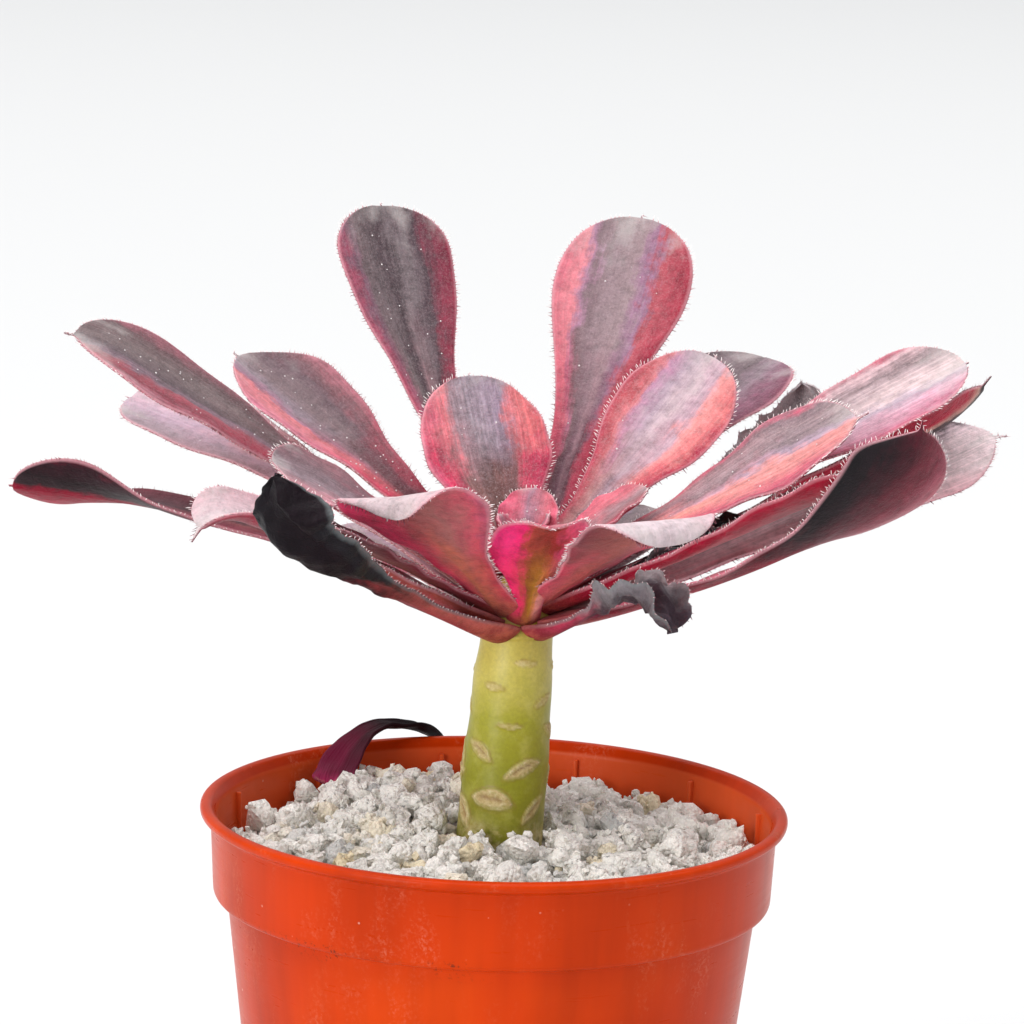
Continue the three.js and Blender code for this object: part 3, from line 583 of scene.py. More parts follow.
COLOURS = {
    "leaf_back_left_upright": dict(
        tip=[(-1, "8c2340"), (-0.72, "7a3346"), (-0.5, CHARCOAL), (-0.12, "7a7476"), (0.08, "4c4146"),
             (0.35, "6a6264"), (0.58, "74686a"), (0.74, "7c5c6c"), (0.9, "a04c64"), (1, "b05c74")],
        foot=[(-1, "b01c40"), (-0.6, "a02a46"), (-0.42, "5e3a46"), (-0.1, "9a7c80"), (0.1, "54424a"),
              (0.42, "6e6a68"), (0.6, "a86078"), (1, "b84a66")], streak=0.2),
    "leaf_back_right_upright": dict(
        tip=[(-1, "98243c"), (-0.78, "ac4454"), (-0.5, "b05660"), (-0.38, "9c7a94"), (-0.15, "9c8e90"),
             (0.3, "94868a"), (0.46, "847478"), (0.58, "a8849c"), (0.72, "de8c94"), (1, "c86c7c")],
        foot=[(-1, "981c3a"), (-0.5, "ac3c54"), (-0.32, "684450"), (-0.05, "94767e"), (0.1, "745460"),
              (0.4, "684850"), (0.6, "b84c64"), (1, "cc4c64")]),
    "leaf_back_short": dict(
        tip=[(-1, "d85070"), (-0.72, "ef8484"), (-0.5, "e88a90"), (-0.36, "a79aae"), (0.1, "a5a0a8"),
             (0.34, "b29aa2"), (0.55, "f08c92"), (1, "e4708c")],
        foot=[(-1, "d23c66"), (-0.62, "d4506c"), (-0.46, "8a6462"), (-0.1, "70544e"), (0.4, "8c6a64"),
              (0.56, "b85068"), (0.78, "f22a68"), (1, "e85a84")], streak=0.3, felt=0.2, change=0.58),
    "leaf_right_broad": dict(
        tip=[(-1, "a82c48"), (-0.8, "dc7c7c"), (-0.45, "f0a49e"), (-0.3, "c4acb8"), (0.05, "ccc0c4"),
             (0.3, "b4a8b4"), (0.5, "b890aa"), (0.66, "d48488"), (0.85, "bc5c62"), (1, "b44858")],
        foot=[(-1, "b02848"), (-0.65, "d8606a"), (-0.35, "bc8a8c"), (0.0, "a08c98"), (0.35, "b88c88"),
              (0.66, "b4686c"), (1, "bc3c58")], streak=0.16, felt=0.2),
    "leaf_right_back_grey": dict(
        tip=[(-1, "7c3650"), (-0.6, "8d5f74"), (-0.3, "9a8a94"), (0.0, "6c6266"), (0.35, "8d8286"),
             (0.7, "5a5056"), (1, "6c6064")], streak=0.15),
    "leaf_right_upper": dict(
        tip=[(-1, "8c1838"), (-0.82, "cc4c6c"), (-0.45, "ec9a94"), (-0.05, "f0a49c"), (0.12, "b8a8ba"),
             (0.32, "8d8084"), (0.55, "a8989a"), (0.8, "8b787e"), (1, "c86078")],
        foot=[(-1, "e05076"), (-0.3, "f4a896"), (0.15, "dc8c8c"), (0.45, "9c7a82"), (0.75, "b48a8c"),
              (1, "d04c66")], streak=0.3, felt=0.2),
    "leaf_right_long": dict(
        tip=[(-1, "c85878"), (-0.7, "d890a8"), (-0.3, "e4bccc"), (-0.08, "ccc2d0"), (0.12, "ecdedc"),
             (0.45, "c8babb"), (0.62, "948688"), (0.8, "dcc4c6"), (1, "c45c74")],
        foot=[(-1, "cc3c60"), (-0.4, "dc848e"), (0.0, "d4b8be"), (0.4, "ac9494"), (0.7, "c88890"),
              (1, "c04460")], streak=0.28, felt=0.2, change=0.4),
    "leaf_right_low": dict(
        tip=[(-1, "fcdce0"), (-0.5, "fff6f6"), (0.2, "faf0f0"), (0.42, "d4c8cc"), (0.55, "5a5054"),
             (0.85, "4a4044"), (1, "857478")],
        foot=[(-1, "f4c0c8"), (0.3, "ecd0d4"), (1, "9c7c84")], streak=0.22, felt=0.2, change=0.35),
    "leaf_right_edgewise": dict(
        tip=[(-1, "a01838"), (-0.62, "9c2040"), (-0.5, "a08478"), (-0.4, "3c3234"), (0.5, "443a3c"),
             (0.85, "584a4c"), (1, "c08890")],
        under=[(-1, "a01634"), (-0.55, "b41a3a"), (-0.3, "c4a090"), (-0.2, "3a2e30"), (0.8, "3c3234"),
               (1, "b8808a")],
        under_foot=[(-1, "b01c40"), (1, "c02848")], streak=0.2),
    "leaf_right_front_large": dict(
        tip=[(-1, "c8a0a8"), (0, "d0a0a8"), (0.6, "e0a0aa"), (1, "f0bcc0")],
        foot=[(-1, "c84c6c"), (0.4, "d4808e"), (1, "e89aa8")],
        under=[(-1, "110c12"), (-0.6, "1c1218"), (-0.2, "401420"), (0.3, "702434"), (0.7, "a05060"),
               (1, "bc747e")],
        under_foot=[(-1, "78142c"), (-0.3, "9c1c38"), (0.4, "b82040"), (1, "cc4460")], change=0.5),
    "leaf_right_front_inner": dict(
        tip=[(-1, "e8a0ac"), (0, "c8a4ac"), (0.6, "8c7c80"), (1, "d890a0")],
        under=[(-1, "b81c40"), (0, "a8163a"), (1, "c03050")], under_foot=[(-1, "b81c40"), (1, "b02848")]),
    "leaf_front_left_folded": dict(
        tip=[(-1, "e8b4bc"), (-0.4, "dcd4d4"), (0.3, "d0c8c8"), (1, "e4b8c0")],
        foot=[(-1, "b84860"), (0, "a87078"), (1, "b84860")],
        under=[(-1, "ff5088"), (-0.6, "f84c7c"), (-0.2, "c46c6c"), (0.35, "b07470"), (0.8, "d45c70"),
               (1, "b85874")],
        under_foot=[(-1, "f43c70"), (-0.5, "f05c70"), (0, "d88060"), (0.5, "d46c60"), (1, "cc4458")],
        change=0.5, felt=0.4),
    "leaf_front_right_folded": dict(
        tip=[(-1, "d4cccd"), (-0.3, "dcd6d8"), (0.4, "d4cfd0"), (1, "e0bcc2")],
        foot=[(-1, "d84870"), (0, "b07078"), (1, "d84870")],
        under=[(-1, "7c3440"), (-0.5, "98504c"), (0, "b86c62"), (0.45, "d8606c"), (0.8, "f8386c"),
               (1, "ff3868")],
        under_foot=[(-1, "d84c68"), (-0.4, "dc6870"), (0.1, "d46c60"), (0.6, "dc4c60"), (1, "dc3858")],
        change=0.5, felt=0.4),
    "leaf_front_small": dict(
        tip=[(-1, "f83478"), (0, "c8546c"), (1, "f87890")],
        under=[(-1, "ff4898"), (-0.5, "fc3080"), (-0.3, "b84c40"), (0.0, "903c30"), (0.25, "b84440"),
               (0.45, "f86c90"), (1, "ff88ac")],
        under_foot=[(-1, "fc307c"), (-0.55, "f0406c"), (-0.3, "9c5c28"), (0.0, "b8842c"), (0.25, "f0a068"),
                    (0.42, "ffb4a4"), (1, "ff80a0")], change=0.6),
    "leaf_left_back": dict(
        tip=[(-1, "cc8c98"), (-0.8, "90686e"), (-0.45, "74646a"), (-0.1, "887c7e"), (0.2, "989098"),
             (0.36, "a88498"), (0.5, "e48c90"), (0.8, "e494a0"), (1, "d07890")],
        foot=[(-1, "b83c58"), (-0.6, "a04c5c"), (-0.3, "74404c"), (0.1, "6c3c44"), (0.42, "c45c64"),
              (0.8, "e04c6c"), (1, "b82848")], streak=0.2),
    "leaf_left_long": dict(
        tip=[(-1, "a06470"), (-0.7, "6a5456"), (-0.25, "807674"), (0.1, "685c60"), (0.35, "887480"),
             (0.5, "a85460"), (0.82, "943a4c"), (1, "b87c88")],
        foot=[(-1, "8c4c58"), (-0.5, "5c4044"), (0.1, "644a4e"), (0.45, "8c5060"), (0.62, "a83048"),
              (1, "a02444")], streak=0.3),
    "leaf_left_under": dict(
        tip=[(-1, "ecc4c8"), (-0.3, "dcc4cc"), (0.2, "c0acbc"), (0.6, "a0949c"), (1, "988c90")],
        foot=[(-1, "d89098"), (-0.4, "fcc0b0"), (0.0, "ecb4b0"), (0.4, "c4a0ac"), (0.8, "a8848c"),
              (1, "a07880")],
        change=0.68, felt=0.2),
    "leaf_far_left_twisted": dict(
        tip=[(-1, "8c4c58"), (0, "6c5c60"), (1, "b07c84")],
        foot=[(-1, "8c8488"), (-0.35, "7c6c70"), (0.1, "c07878"), (0.6, "b03c54"), (1, "8c2844")],
        under=[(-1, "b81440"), (-0.5, "980c30"), (0.05, "840c2a"), (0.2, "34282c"), (0.5, "22181c"),
               (0.85, "30141e"), (1, "60182c")],
        under_foot=[(-1, "a01c3c"), (0, "901c3a"), (1, "a02040")], change=0.55, felt=0.04, gloss=0.12),
    "leaf_left_front_hooked": dict(
        tip=[(-1, "d8b8be"), (0, "ccc4c6"), (1, "e0a8b0")],
        foot=[(-1, "c8808c"), (0, "a87c84"), (1, "d06478")],
        under=[(-1, "8c1434"), (0, "7c1430"), (1, "9c1c3c")], change=0.5, felt=0.4),
    "leaf_left_inner": dict(
        tip=[(-1, "9c6c74"), (-0.4, "7c6a70"), (0.2, "94888e"), (0.6, "c8949c"), (1, "d8a0a8")],
        foot=[(-1, "9c2c4c"), (0, "7c4c58"), (0.6, "b83c5c"), (1, "d83c68")], streak=0.25),
    "leaf_left_front_inner": dict(
        tip=[(-1, "b87c88"), (0, "94868a"), (1, "d08c98")],
        under=[(-1, "7c1c34"), (-0.2, "6c5044"), (0.2, "80584c"), (1, "8c1c38")],
        under_foot=[(-1, "8c2038"), (0, "8c5040"), (1, "8c1c38")], streak=0.2),
    "leaf_inner_back": dict(
        tip=[(-1, "f06c88"), (-0.5, "d8808c"), (0, "b090a0"), (0.5, "e07c90"), (1, "f06088")],
        foot=[(-1, "f03c74"), (0, "c88890"), (1, "f03c74")], change=0.4),
    "leaf_inner_right": dict(
        tip=[(-1, "b03c54"), (-0.5, "a07074"), (0, "a89094"), (0.4, "d87884"), (1, "f07c90")],
        foot=[(-1, "d83c64"), (0, "d88088"), (1, "f05c80")], change=0.5, streak=0.2),
}
DRY_COLOURS = {
    "dried_leaf_black": dict(
        tip=[(-1, "2a3032"), (-0.85, "1a1e20"), (-0.6, "0c0d12"), (0.4, "0c0c10"), (0.85, "1a2022"),
             (1, "3c4646")],
        foot=[(-1, "6c4450"), (-0.5, "3a1c26"), (0.3, "441c28"), (1, "8c4456")],
        under=[(-1, "181a1e"), (0, "140e14"), (0.7, "180f16"), (1, "24262a")],
        under_foot=[(-1, "b04c5c"), (-0.4, "9c3048"), (0.2, "a84448"), (1, "c06860")], change=0.4),
    "dried_leaf_curled": dict(
        tip=[(-1, "d4d4d4"), (0, "a4a4a4"), (0.5, "c4c2c2"), (1, "dcdada")],
        under=[(-1, "b8b8b8"), (0, "949494"), (1, "c8c8c8")],
        under_foot=[(-1, "5c4850"), (0, "4c343c"), (1, "5c4850")], foot=[(-1, "5c4850"), (1, "5c4850")],
        felt=0.6, change=0.3, edge="d8d6d6"),
    "dried_leaf_small": dict(
        tip=[(-1, "4c5454"), (0, "24282a"), (1, "4c5454")],
        under=[(-1, "343a3c"), (0, "1c2022"), (1, "3c4244")],
        under_foot=[(-1, "5c4850"), (1, "5c4850")], foot=[(-1, "5c4850"), (1, "5c4850")]),
    "dried_leaf_hanging": dict(
        tip=[(-1, "a4acac"), (-0.8, "7c8284"), (-0.3, "544c54"), (0.4, "4a424a"), (0.8, "808688"),
             (1, "aab0b0")],
        foot=[(-1, "b06c78"), (0, "7c4450"), (1, "b06c78")],
        under=[(-1, "8c9294"), (-0.5, "565056"), (0.2, "463c46"), (1, "949a9a")],
        under_foot=[(-1, "b8405c"), (0, "8c3048"), (1, "a84054")], change=0.4),
}
print(len(COLOURS) + len(DRY_COLOURS), "leaves with colours of their own")

# %% [markdown]
# Each leaf is one closed tube of rings that is pressed to the blade's section. A tube keeps its skin in one
# piece round the margin, where a thin sheet with added thickness would show two hard corners.

# %% The living and the dried leaves
DEW_COUNT = {"leaf_back_left_upright": 22, "leaf_left_back": 30, "leaf_left_long": 34, "leaf_left_inner": 10,
             "leaf_back_short": 6, "leaf_right_broad": 4, "leaf_right_upper": 8, "leaf_right_long": 8,
             "leaf_back_right_upright": 6, "leaf_right_front_large": 4}
for number, (name, leaf) in enumerate(LEAVES.items()):
    leaf["shift"] = number * 7.3
    chance = random.Random(100 + number)
    frames = midrib(leaf)
    colours = {**USUAL, **(DRY if leaf.get("dry") else {})}
    colours.update({**COLOURS, **DRY_COLOURS}.get(name, {}))
    skin = leaf_skin(name + "_skin", colours, (number * 3.7, number * 1.9, 0))
    bm = leaf_body(leaf, frames)
    small = leaf["length"] < 30
    hair = dict(size=0.8, spacing=0.7) if small else dict(size=0.7, spacing=0.9) if leaf.get("dry") else {}
    add_part(bm, margin_hairs(leaf, frames, chance, **hair), 1)
    add_part(bm, dew_beads(leaf, frames, chance, DEW_COUNT.get(name, 3)), 2)
    piece_from(bm, name + "_blade", [skin, HAIR, DEW], [name])

# %% [markdown]
# ## The growing tip
# Five tiny leaves stand round the growing point. They are shaped as the large ones are, and packed as one
# node, so they are one piece here too, with a small bud between them.

# %% The growing tip
heart_skin = leaf_skin("heart_leaves_skin", {
    **USUAL, "tip": [(-1, "e8708c"), (0, "b88c98"), (1, "e8708c")],
    "foot": [(-1, "e04c74"), (0, "c8909a"), (1, "e04c74")]}, (90, 40, 0))
heart = bmesh.new()
heart.verts.layers.float_vector.new("leaf_place")
for k in range(5):
    young = row(13.2 + 0.25 * k, 20 + 137.5 * k, 58 + 4 * k, 6, 0, 10 - k, 6.5 - 0.6 * k, 0, 40, 0.62,
                shift=300 + k, point=0.3)
    frames = midrib(young)
    add_part(heart, leaf_body(young, frames, rings=30, around=24), 0)
    add_part(heart, margin_hairs(young, frames, random.Random(500 + k), size=0.5, spacing=0.5, first=0.2), 1)
BUD_HEIGHT, BUD_RADIUS = 143.6, 1.7
bud_place = Matrix.Translation(Vector((CROWN_X, 0, BUD_HEIGHT)) * MM) @ Matrix.Scale(1.4, 4, (0, 0, 1))
bud = bmesh.new()
bmesh.ops.create_uvsphere(bud, u_segments=20, v_segments=12, radius=BUD_RADIUS * MM, matrix=bud_place)
add_part(heart, bud, 0)
piece_from(heart, "heart_leaves_blades", [heart_skin, HAIR], ["heart_leaves"])

# %% [markdown]
# ## The stem
# The stem is smooth and fleshy, yellow-green above and browner below. Each shed leaf has left a lens-shaped
# scar, and near the pumice the scars have grown corky brows. The scars are pressed into a fine tube, and the
# mesh carries how corky each point is and how much painted shade it takes, so the colour follows the relief.

# %% The stem
# Each scar: degrees round, height, half width, half height, tilt in degrees and how corky it is.
FRONT_SCARS = [
    (18, 123.8, 2.1, 0.6, -3, 0.1), (-28, 119.2, 2.0, 0.65, -8, 0.15), (-84, 114.4, 2.0, 0.7, -40, 0.2),
    (52, 116.4, 2.4, 0.75, 22, 0.2), (0, 112.0, 2.4, 0.55, -2, 0.15), (-40, 107.0, 2.6, 0.9, -32, 0.85),
    (24, 103.8, 3.1, 1.0, 22, 0.95), (-16, 98.0, 3.3, 1.4, -6, 1.0), (-66, 95.0, 3.0, 1.4, -50, 0.9),
    (44, 95.8, 2.9, 0.9, 46, 0.7), (-86, 104, 3.4, 1.2, -85, 0.85),
]


def scar_at(angle, z):
    """How far the skin stands out here in millimetres, how corky it is and its painted shade."""
    lift = cork = shade = 0.0
    for third in range(3):
        for around, height, wide, tall, tilt, corky in FRONT_SCARS:
            if third and abs(around) > 42:
                continue
            up = z - height - (0, 3.1, -2.4)[third]
            if abs(up) > 7:
                continue
            turned = (angle - 270 - around - 120 * third + 180) % 360 - 180
            along = math.radians(turned) * stem_radius(z)
            if abs(along) > 8:
                continue
            lean = math.radians(tilt)
            u = along * math.cos(lean) + up * math.sin(lean)
            v = up * math.cos(lean) - along * math.sin(lean)
            v += 0.11 * (u * u / wide) * corky
            u += 0.3 * noise.noise(Vector((u * 0.8, v * 0.8, height)))
            v += 0.25 * noise.noise(Vector((u * 0.9, v * 0.9, height + 9)))
            lens = (u / wide) ** 2 + abs(v / tall) ** 1.3
            inside = smooth((1.15 - lens) / 0.35)
            brow = math.exp(-((lens - 1.25) / 0.35) ** 2) * (1 if v > 0 else 0.55)
            slit = math.exp(-((v - 0.12 * tall) / (0.22 * tall)) ** 2) * smooth((0.8 - abs(u / wide)) / 0.3)
            lift += 0.16 * inside + 0.3 * corky * brow - (0.12 + 0.5 * max(0, corky - 0.55)) * slit
            cork = max(cork, (0.45 + 0.4 * corky) * max(inside, corky * brow * 1.3))
            # Painted shade: a dark line round the scar, stronger above it, and a dark slit inside it.
            rim_line = math.exp(-((lens - 1.2 - 0.9 * corky) / 0.22) ** 2) * (0.6 if v > 0 else 0.3)
            shade = max(shade, rim_line, slit * corky)
    return lift, clamp(cork), clamp(shade)


def stem_finish():
    finish, tree, skin = new_finish("stem_skin", Roughness=0.42, Subsurface_Weight=0.15,
                                    Subsurface_Radius=(0.002, 0.0025, 0.0008), Subsurface_Scale=0.6)
    where = object_place(tree)
    height = parts_of(tree, where)[2]
    marks = parts_of(tree, read(tree, "scar"))
    drift = cloud(tree, where, 130, 3)
    level = math_of(tree, "MULTIPLY_ADD", drift, 0.016, height)
    body = ramp(tree, remap(tree, level, 0.088, 0.142, soft=False),
                [(0.0, "625418"), (0.14, "767218"), (0.35, "8e9014"), (0.6, "a4a21c"), (0.8, "c8bc54"),
                 (1.0, "ac9430")])
    patches = cloud(tree, where, 260, 4, 0.6)
    body = mix(tree, remap(tree, patches, 0.45, 0.75, 0, 0.25), body, paint("d8d07c"))
    speck = cloud(tree, where, 1500, 3, 0.7)
    body = mix(tree, 1.0, body, ramp(tree, speck, [(0.3, 0.86), (0.7, 1.06)]), "MULTIPLY")
    rough = cloud(tree, where, 900, 4, 0.7)
    cork = ramp(tree, rough, [(0.3, "ac9058"), (0.5, "cbb686"), (0.72, "e4d8b0")])
    low = remap(tree, math_of(tree, "MULTIPLY_ADD", drift, 0.012, height), 0.0955, 0.1005, 0.75, 0)
    corky = math_of(tree, "MAXIMUM", marks[0], math_of(tree, "MULTIPLY", low, remap(tree, patches, 0.4, 0.6)))
    body = mix(tree, corky, body, cork)
    # Painted shade: the scar slits and the lines round the scars are darkened brown.
    body = mix(tree, math_of(tree, "MULTIPLY", marks[1], 0.7), body, paint("8a6234"))
    tree.links.new(body, skin.inputs["Base Color"])
    tree.links.new(math_of(tree, "MULTIPLY_ADD", corky, 0.35, 0.4), skin.inputs["Roughness"])
    cracked = math_of(tree, "MULTIPLY", rough, math_of(tree, "MULTIPLY_ADD", corky, 1.0, 0.12))
    lift = math_of(tree, "ADD", cracked, math_of(tree, "MULTIPLY", patches, 0.3))
    bumped(tree, skin, lift, 0.0005, 0.6)
    return finish


STEM_RINGS, STEM_AROUND, SCARS_FROM, SCARS_TO = 230, 160, 84, 131
bm, (marks,), places = tube(STEM_RINGS, STEM_AROUND, "scar")
for vertex, ring, step in places:
    z = lerp(STEM_FOOT, STEM_TOP + CROWN_HEIGHT, ring / (STEM_RINGS - 1))
    angle = 360 * step / STEM_AROUND
    lift, cork, shade = scar_at(angle, z) if SCARS_FROM < z < SCARS_TO else (0, 0, 0)
    way = Vector((math.cos(math.radians(angle)), math.sin(math.radians(angle)), 0))
    soft = 0.22 * noise.noise(Vector((way.x, way.y, z * 0.12)))
    reach = stem_radius(z) + lift + soft
    vertex.co = (stem_centre(z) + way * reach) * MM
    vertex[marks] = (cork, shade, 0)
bmesh.ops.recalc_face_normals(bm, faces=bm.faces)
piece_from(bm, "stem_with_scars", [stem_finish()], ["stem"])

# %% [markdown]
# ## The pot
# A nursery pot is one thin moulded shell. Its section is drawn as a chain of points and spun once round the
# axis, which gives the exact wall, collar and lip that a mould gives. Short ribs stand inside the collar, and
# the drain holes are cut through the floor.

# %% The pot
def pot_finish():
    finish, tree, skin = new_finish("orange_plastic", Specular_IOR_Level=0.1, Subsurface_Weight=0.05,
                                    Subsurface_Radius=(0.004, 0.0012, 0.0006), Subsurface_Scale=0.6)
    where = object_place(tree)
    x, y, z = parts_of(tree, where)
    drift = cloud(tree, where, 28, 3)
    body = ramp(tree, drift, [(0.3, "b63001"), (0.55, "c03602"), (0.75, "cc4004")])
    # The wall is lighter and darker in vertical streaks.
    vertical_streaks = cloud(tree, stretched(tree, where, (1, 1, 0.06)), 70, 4, 0.6)
    body = mix(tree, 1.0, body, ramp(tree, vertical_streaks, [(0.3, 0.8), (0.5, 1.0), (0.7, 1.14)]), "MULTIPLY")
    dust = cloud(tree, stretched(tree, where, (1, 1, 0.35)), 95, 6, 0.68)
    fine = cloud(tree, where, 1300, 4, 0.7)
    film = math_of(tree, "MULTIPLY", remap(tree, dust, 0.5, 0.78), remap(tree, fine, 0.45, 0.7))
    body = mix(tree, math_of(tree, "MULTIPLY", film, 0.35), body, paint("e8a98a"))
    # Painted light: the inner face of the collar is lighter orange, as if light came through the plastic.
    reach = math_of(tree, "SQRT", math_of(tree, "MULTIPLY_ADD", x, x, math_of(tree, "MULTIPLY", y, y)))
    painted_light_inside = math_of(tree, "MULTIPLY", remap(tree, reach, 0.0517, 0.0521, 1, 0), remap(tree, z, 0.081, 0.084))
    body = mix(tree, math_of(tree, "MULTIPLY", painted_light_inside, 0.4), body, paint("f4703c"))
    specks = cells(tree, where, 330)
    some = cloud(tree, where, 45, 2)
    dots = math_of(tree, "MULTIPLY", remap(tree, specks, 0.05, 0.1, 1, 0), remap(tree, some, 0.56, 0.68))
    body = mix(tree, math_of(tree, "MULTIPLY", dots, 0.7), body, paint("f0cdb8"))
    ledge = remap(tree, z, 0.0745, 0.077, 0, 1)
    ledge = math_of(tree, "MULTIPLY", ledge, remap(tree, z, 0.0785, 0.08, 1, 0))
    crumbs = cloud(tree, where, 900, 4, 0.75)
    soil = math_of(tree, "MULTIPLY", ledge, remap(tree, crumbs, 0.55, 0.62))
    soil = math_of(tree, "MULTIPLY", soil, remap(tree, some, 0.5, 0.66))
    body = mix(tree, soil, body, paint("3c2417"))
    tree.links.new(body, skin.inputs["Base Color"])
    scratch = cloud(tree, stretched(tree, where, (60, 60, 900)), 1, 3, 0.6)
    dull = math_of(tree, "MULTIPLY_ADD", film, 0.35, math_of(tree, "MULTIPLY_ADD", scratch, 0.16, 0.22))
    tree.links.new(dull, skin.inputs["Roughness"])
    lift = math_of(tree, "MULTIPLY_ADD", scratch, 0.25, math_of(tree, "MULTIPLY_ADD", film, 0.3, drift))
    bumped(tree, skin, lift, 0.0004, 0.25)
    return finish


def spun(profile, steps):
    """A closed solid of revolution from a chain of (radius, height) points, in millimetres."""
    bm = bmesh.new()
    chain = [bm.verts.new(Vector((radius, 0, height)) * MM) for radius, height in profile]
    edges = [bm.edges.new(pair) for pair in zip(chain, chain[1:])]
    bmesh.ops.spin(bm, geom=chain + edges, cent=(0, 0, 0), axis=(0, 0, 1), angle=2 * math.pi, steps=steps,
                   use_merge=True)
    clean(bm)
    return bm


def rounded(profile, size, parts=3):
    """The same chain with its corners rounded by up to this size."""
    out = [profile[0]]
    for before, here, after in zip(profile, profile[1:], profile[2:]):
        p, q, r = (Vector(point) for point in (before, here, after))
        a, b = min(size, (q - p).length * 0.45), min(size, (r - q).length * 0.45)
        start, end = q + (p - q).normalized() * a, q + (r - q).normalized() * b
        for k in range(parts + 1):
            t = k / parts
            out.append(tuple(start * (1 - t) ** 2 + q * 2 * t * (1 - t) + end * t * t))
    return out + [profile[-1]]


outside = [(0, 0), (BASE_RADIUS - 1.2, 0), (BASE_RADIUS, 1.2), (45, 38.6), (WALL_TOP, STEP_Z - STEP_HEIGHT),
           (WALL_TOP + 0.2, STEP_Z - 1.4), (COLLAR_RADIUS - 0.5, STEP_Z - 1.1), (COLLAR_RADIUS, STEP_Z - 0.4),
           (COLLAR_RADIUS + COLLAR_FLARE, POT_HEIGHT - 2.6), (RIM_RADIUS - 0.4, POT_HEIGHT - 1.9),
           (RIM_RADIUS, POT_HEIGHT - 1.4), (RIM_RADIUS, POT_HEIGHT - 0.5), (RIM_RADIUS - 0.6, POT_HEIGHT),
           (RIM_RADIUS - 1.9, POT_HEIGHT)]
inside_heights = (POT_HEIGHT - 2, STEP_Z + STEP_HEIGHT / 2, STEP_Z - STEP_HEIGHT / 2, FLOOR)
inside = [(inner_wall(z), z) for z in inside_heights]
CORNER_ROUNDING, POT_AROUND, RIBS, DRAINS, DRAIN_RING, DRAIN_RADIUS = 0.6, 160, 12, 6, 26, 3.5
shell = spun(rounded(outside + inside + [(0, FLOOR)], CORNER_ROUNDING), POT_AROUND)
for k in range(RIBS):
    rib = bmesh.new()
    place = Matrix.Rotation(math.radians(12 + 30 * k), 4, "Z") @ Matrix.Translation(
        Vector((inner_wall(POT_HEIGHT - 7), 0, POT_HEIGHT - 7)) * MM)
    bmesh.ops.create_cube(rib, size=1, matrix=place @ Matrix.Diagonal(Vector((1.6, 0.9, 8, 1000)) * MM))
    bmesh.ops.bevel(rib, geom=rib.edges[:], offset=0.25 * MM, segments=2, profile=0.5, affect="EDGES",
                    material=-1)
    add_part(shell, rib, 0)
pot = piece_from(shell, "pot_shell", [pot_finish()], ["pot"])

drains = bmesh.new()
for k in range(DRAINS):
    outward = Matrix.Translation(Vector((DRAIN_RING, 0, 0)) * MM)
    spot = Matrix.Rotation(math.radians(30 + 60 * k), 4, "Z") @ outward
    bmesh.ops.create_cone(drains, cap_ends=True, segments=40, radius1=DRAIN_RADIUS * MM,
                          radius2=DRAIN_RADIUS * MM, depth=8 * MM, matrix=spot)
cutter_mesh = bpy.data.meshes.new("drain_cutter")
drains.to_mesh(cutter_mesh)
drains.free()
cutter = bpy.data.objects.new("drain_cutter", cutter_mesh)
bpy.context.scene.collection.objects.link(cutter)
cut = pot.modifiers.new("drain_holes", "BOOLEAN")
cut.operation, cut.object, cut.solver = "DIFFERENCE", cutter, "EXACT"
with_holes = bpy.data.meshes.new_from_object(pot.evaluated_get(bpy.context.evaluated_depsgraph_get()))
pot.modifiers.remove(cut)
pot.data = with_holes
pot.data.shade_smooth()
pot.data.set_sharp_from_angle(angle=math.radians(50))
bpy.data.objects.remove(cutter)
print("pot with drain holes:", len(pot.data.polygons), "faces")

# %% [markdown]
# ## The soil
# Hardly any of the soil shows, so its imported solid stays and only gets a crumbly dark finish.

# %% The soil
def soil_finish():
    finish, tree, skin = new_finish("potting_soil_crumbs", Roughness=0.92)
    where = object_place(tree)
    crumbs = cloud(tree, where, 420, 5, 0.7)
    chips = cells(tree, where, 260)
    body = ramp(tree, crumbs, [(0.3, "1c130d"), (0.5, "3a2a1e"), (0.68, "5c4632"), (0.8, "8c7458")])
    tree.links.new(body, skin.inputs["Base Color"])
    bumped(tree, skin, math_of(tree, "SUBTRACT", crumbs, chips), 0.002, 0.8)
    return finish


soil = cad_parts["potting_soil"]
soil.data.materials.clear()
soil.data.materials.append(soil_finish())
print("soil finished")

# %% [markdown]
# ## The pumice
# Crushed pumice is angular and light, white to cream with some grey grains. Each grain is the convex hull of
# a few scattered points, which gives flat broken faces with sharp corners. They lie on a low mound, the
# largest on top, and small ones fill the gaps. A value on each grain sets its own tone.

# %% The pumice
def pumice_finish():
    finish, tree, skin = new_finish("crushed_pumice", Roughness=0.9, Subsurface_Weight=0.05,
                                    Subsurface_Radius=(0.001, 0.0009, 0.0008), Subsurface_Scale=0.5)
    where = object_place(tree)
    tone, speckled, _ = parts_of(tree, read(tree, "grain"))
    body = ramp(tree, tone, [(0.0, "c9cac8"), (0.08, "efece6"), (0.3, "fdfaf3"), (0.88, "fffcf5"),
                             (0.95, "fdf3de"), (1.0, "f3e4c0")])
    cloudy = cloud(tree, where, 520, 4, 0.6)
    body = mix(tree, 1.0, body, ramp(tree, cloudy, [(0.3, 0.88), (0.5, 1.0), (0.7, 1.06)]), "MULTIPLY")
    lumps = cells(tree, where, 1250)
    crust = cloud(tree, where, 2100, 4, 0.7)
    dark = cloud(tree, where, 850, 4, 0.65)
    fleck_share = remap(tree, speckled, 0.7, 0.98, 0.05, 0.8)
    flecks = math_of(tree, "MULTIPLY", remap(tree, dark, 0.55, 0.68), fleck_share)
    body = mix(tree, flecks, body, paint("6b6f74"))
    tree.links.new(body, skin.inputs["Base Color"])
    height = math_of(tree, "MULTIPLY_ADD", crust, 0.8, math_of(tree, "MULTIPLY", lumps, -1.6))
    bumped(tree, skin, height, 0.0007, 0.7)
    return finish


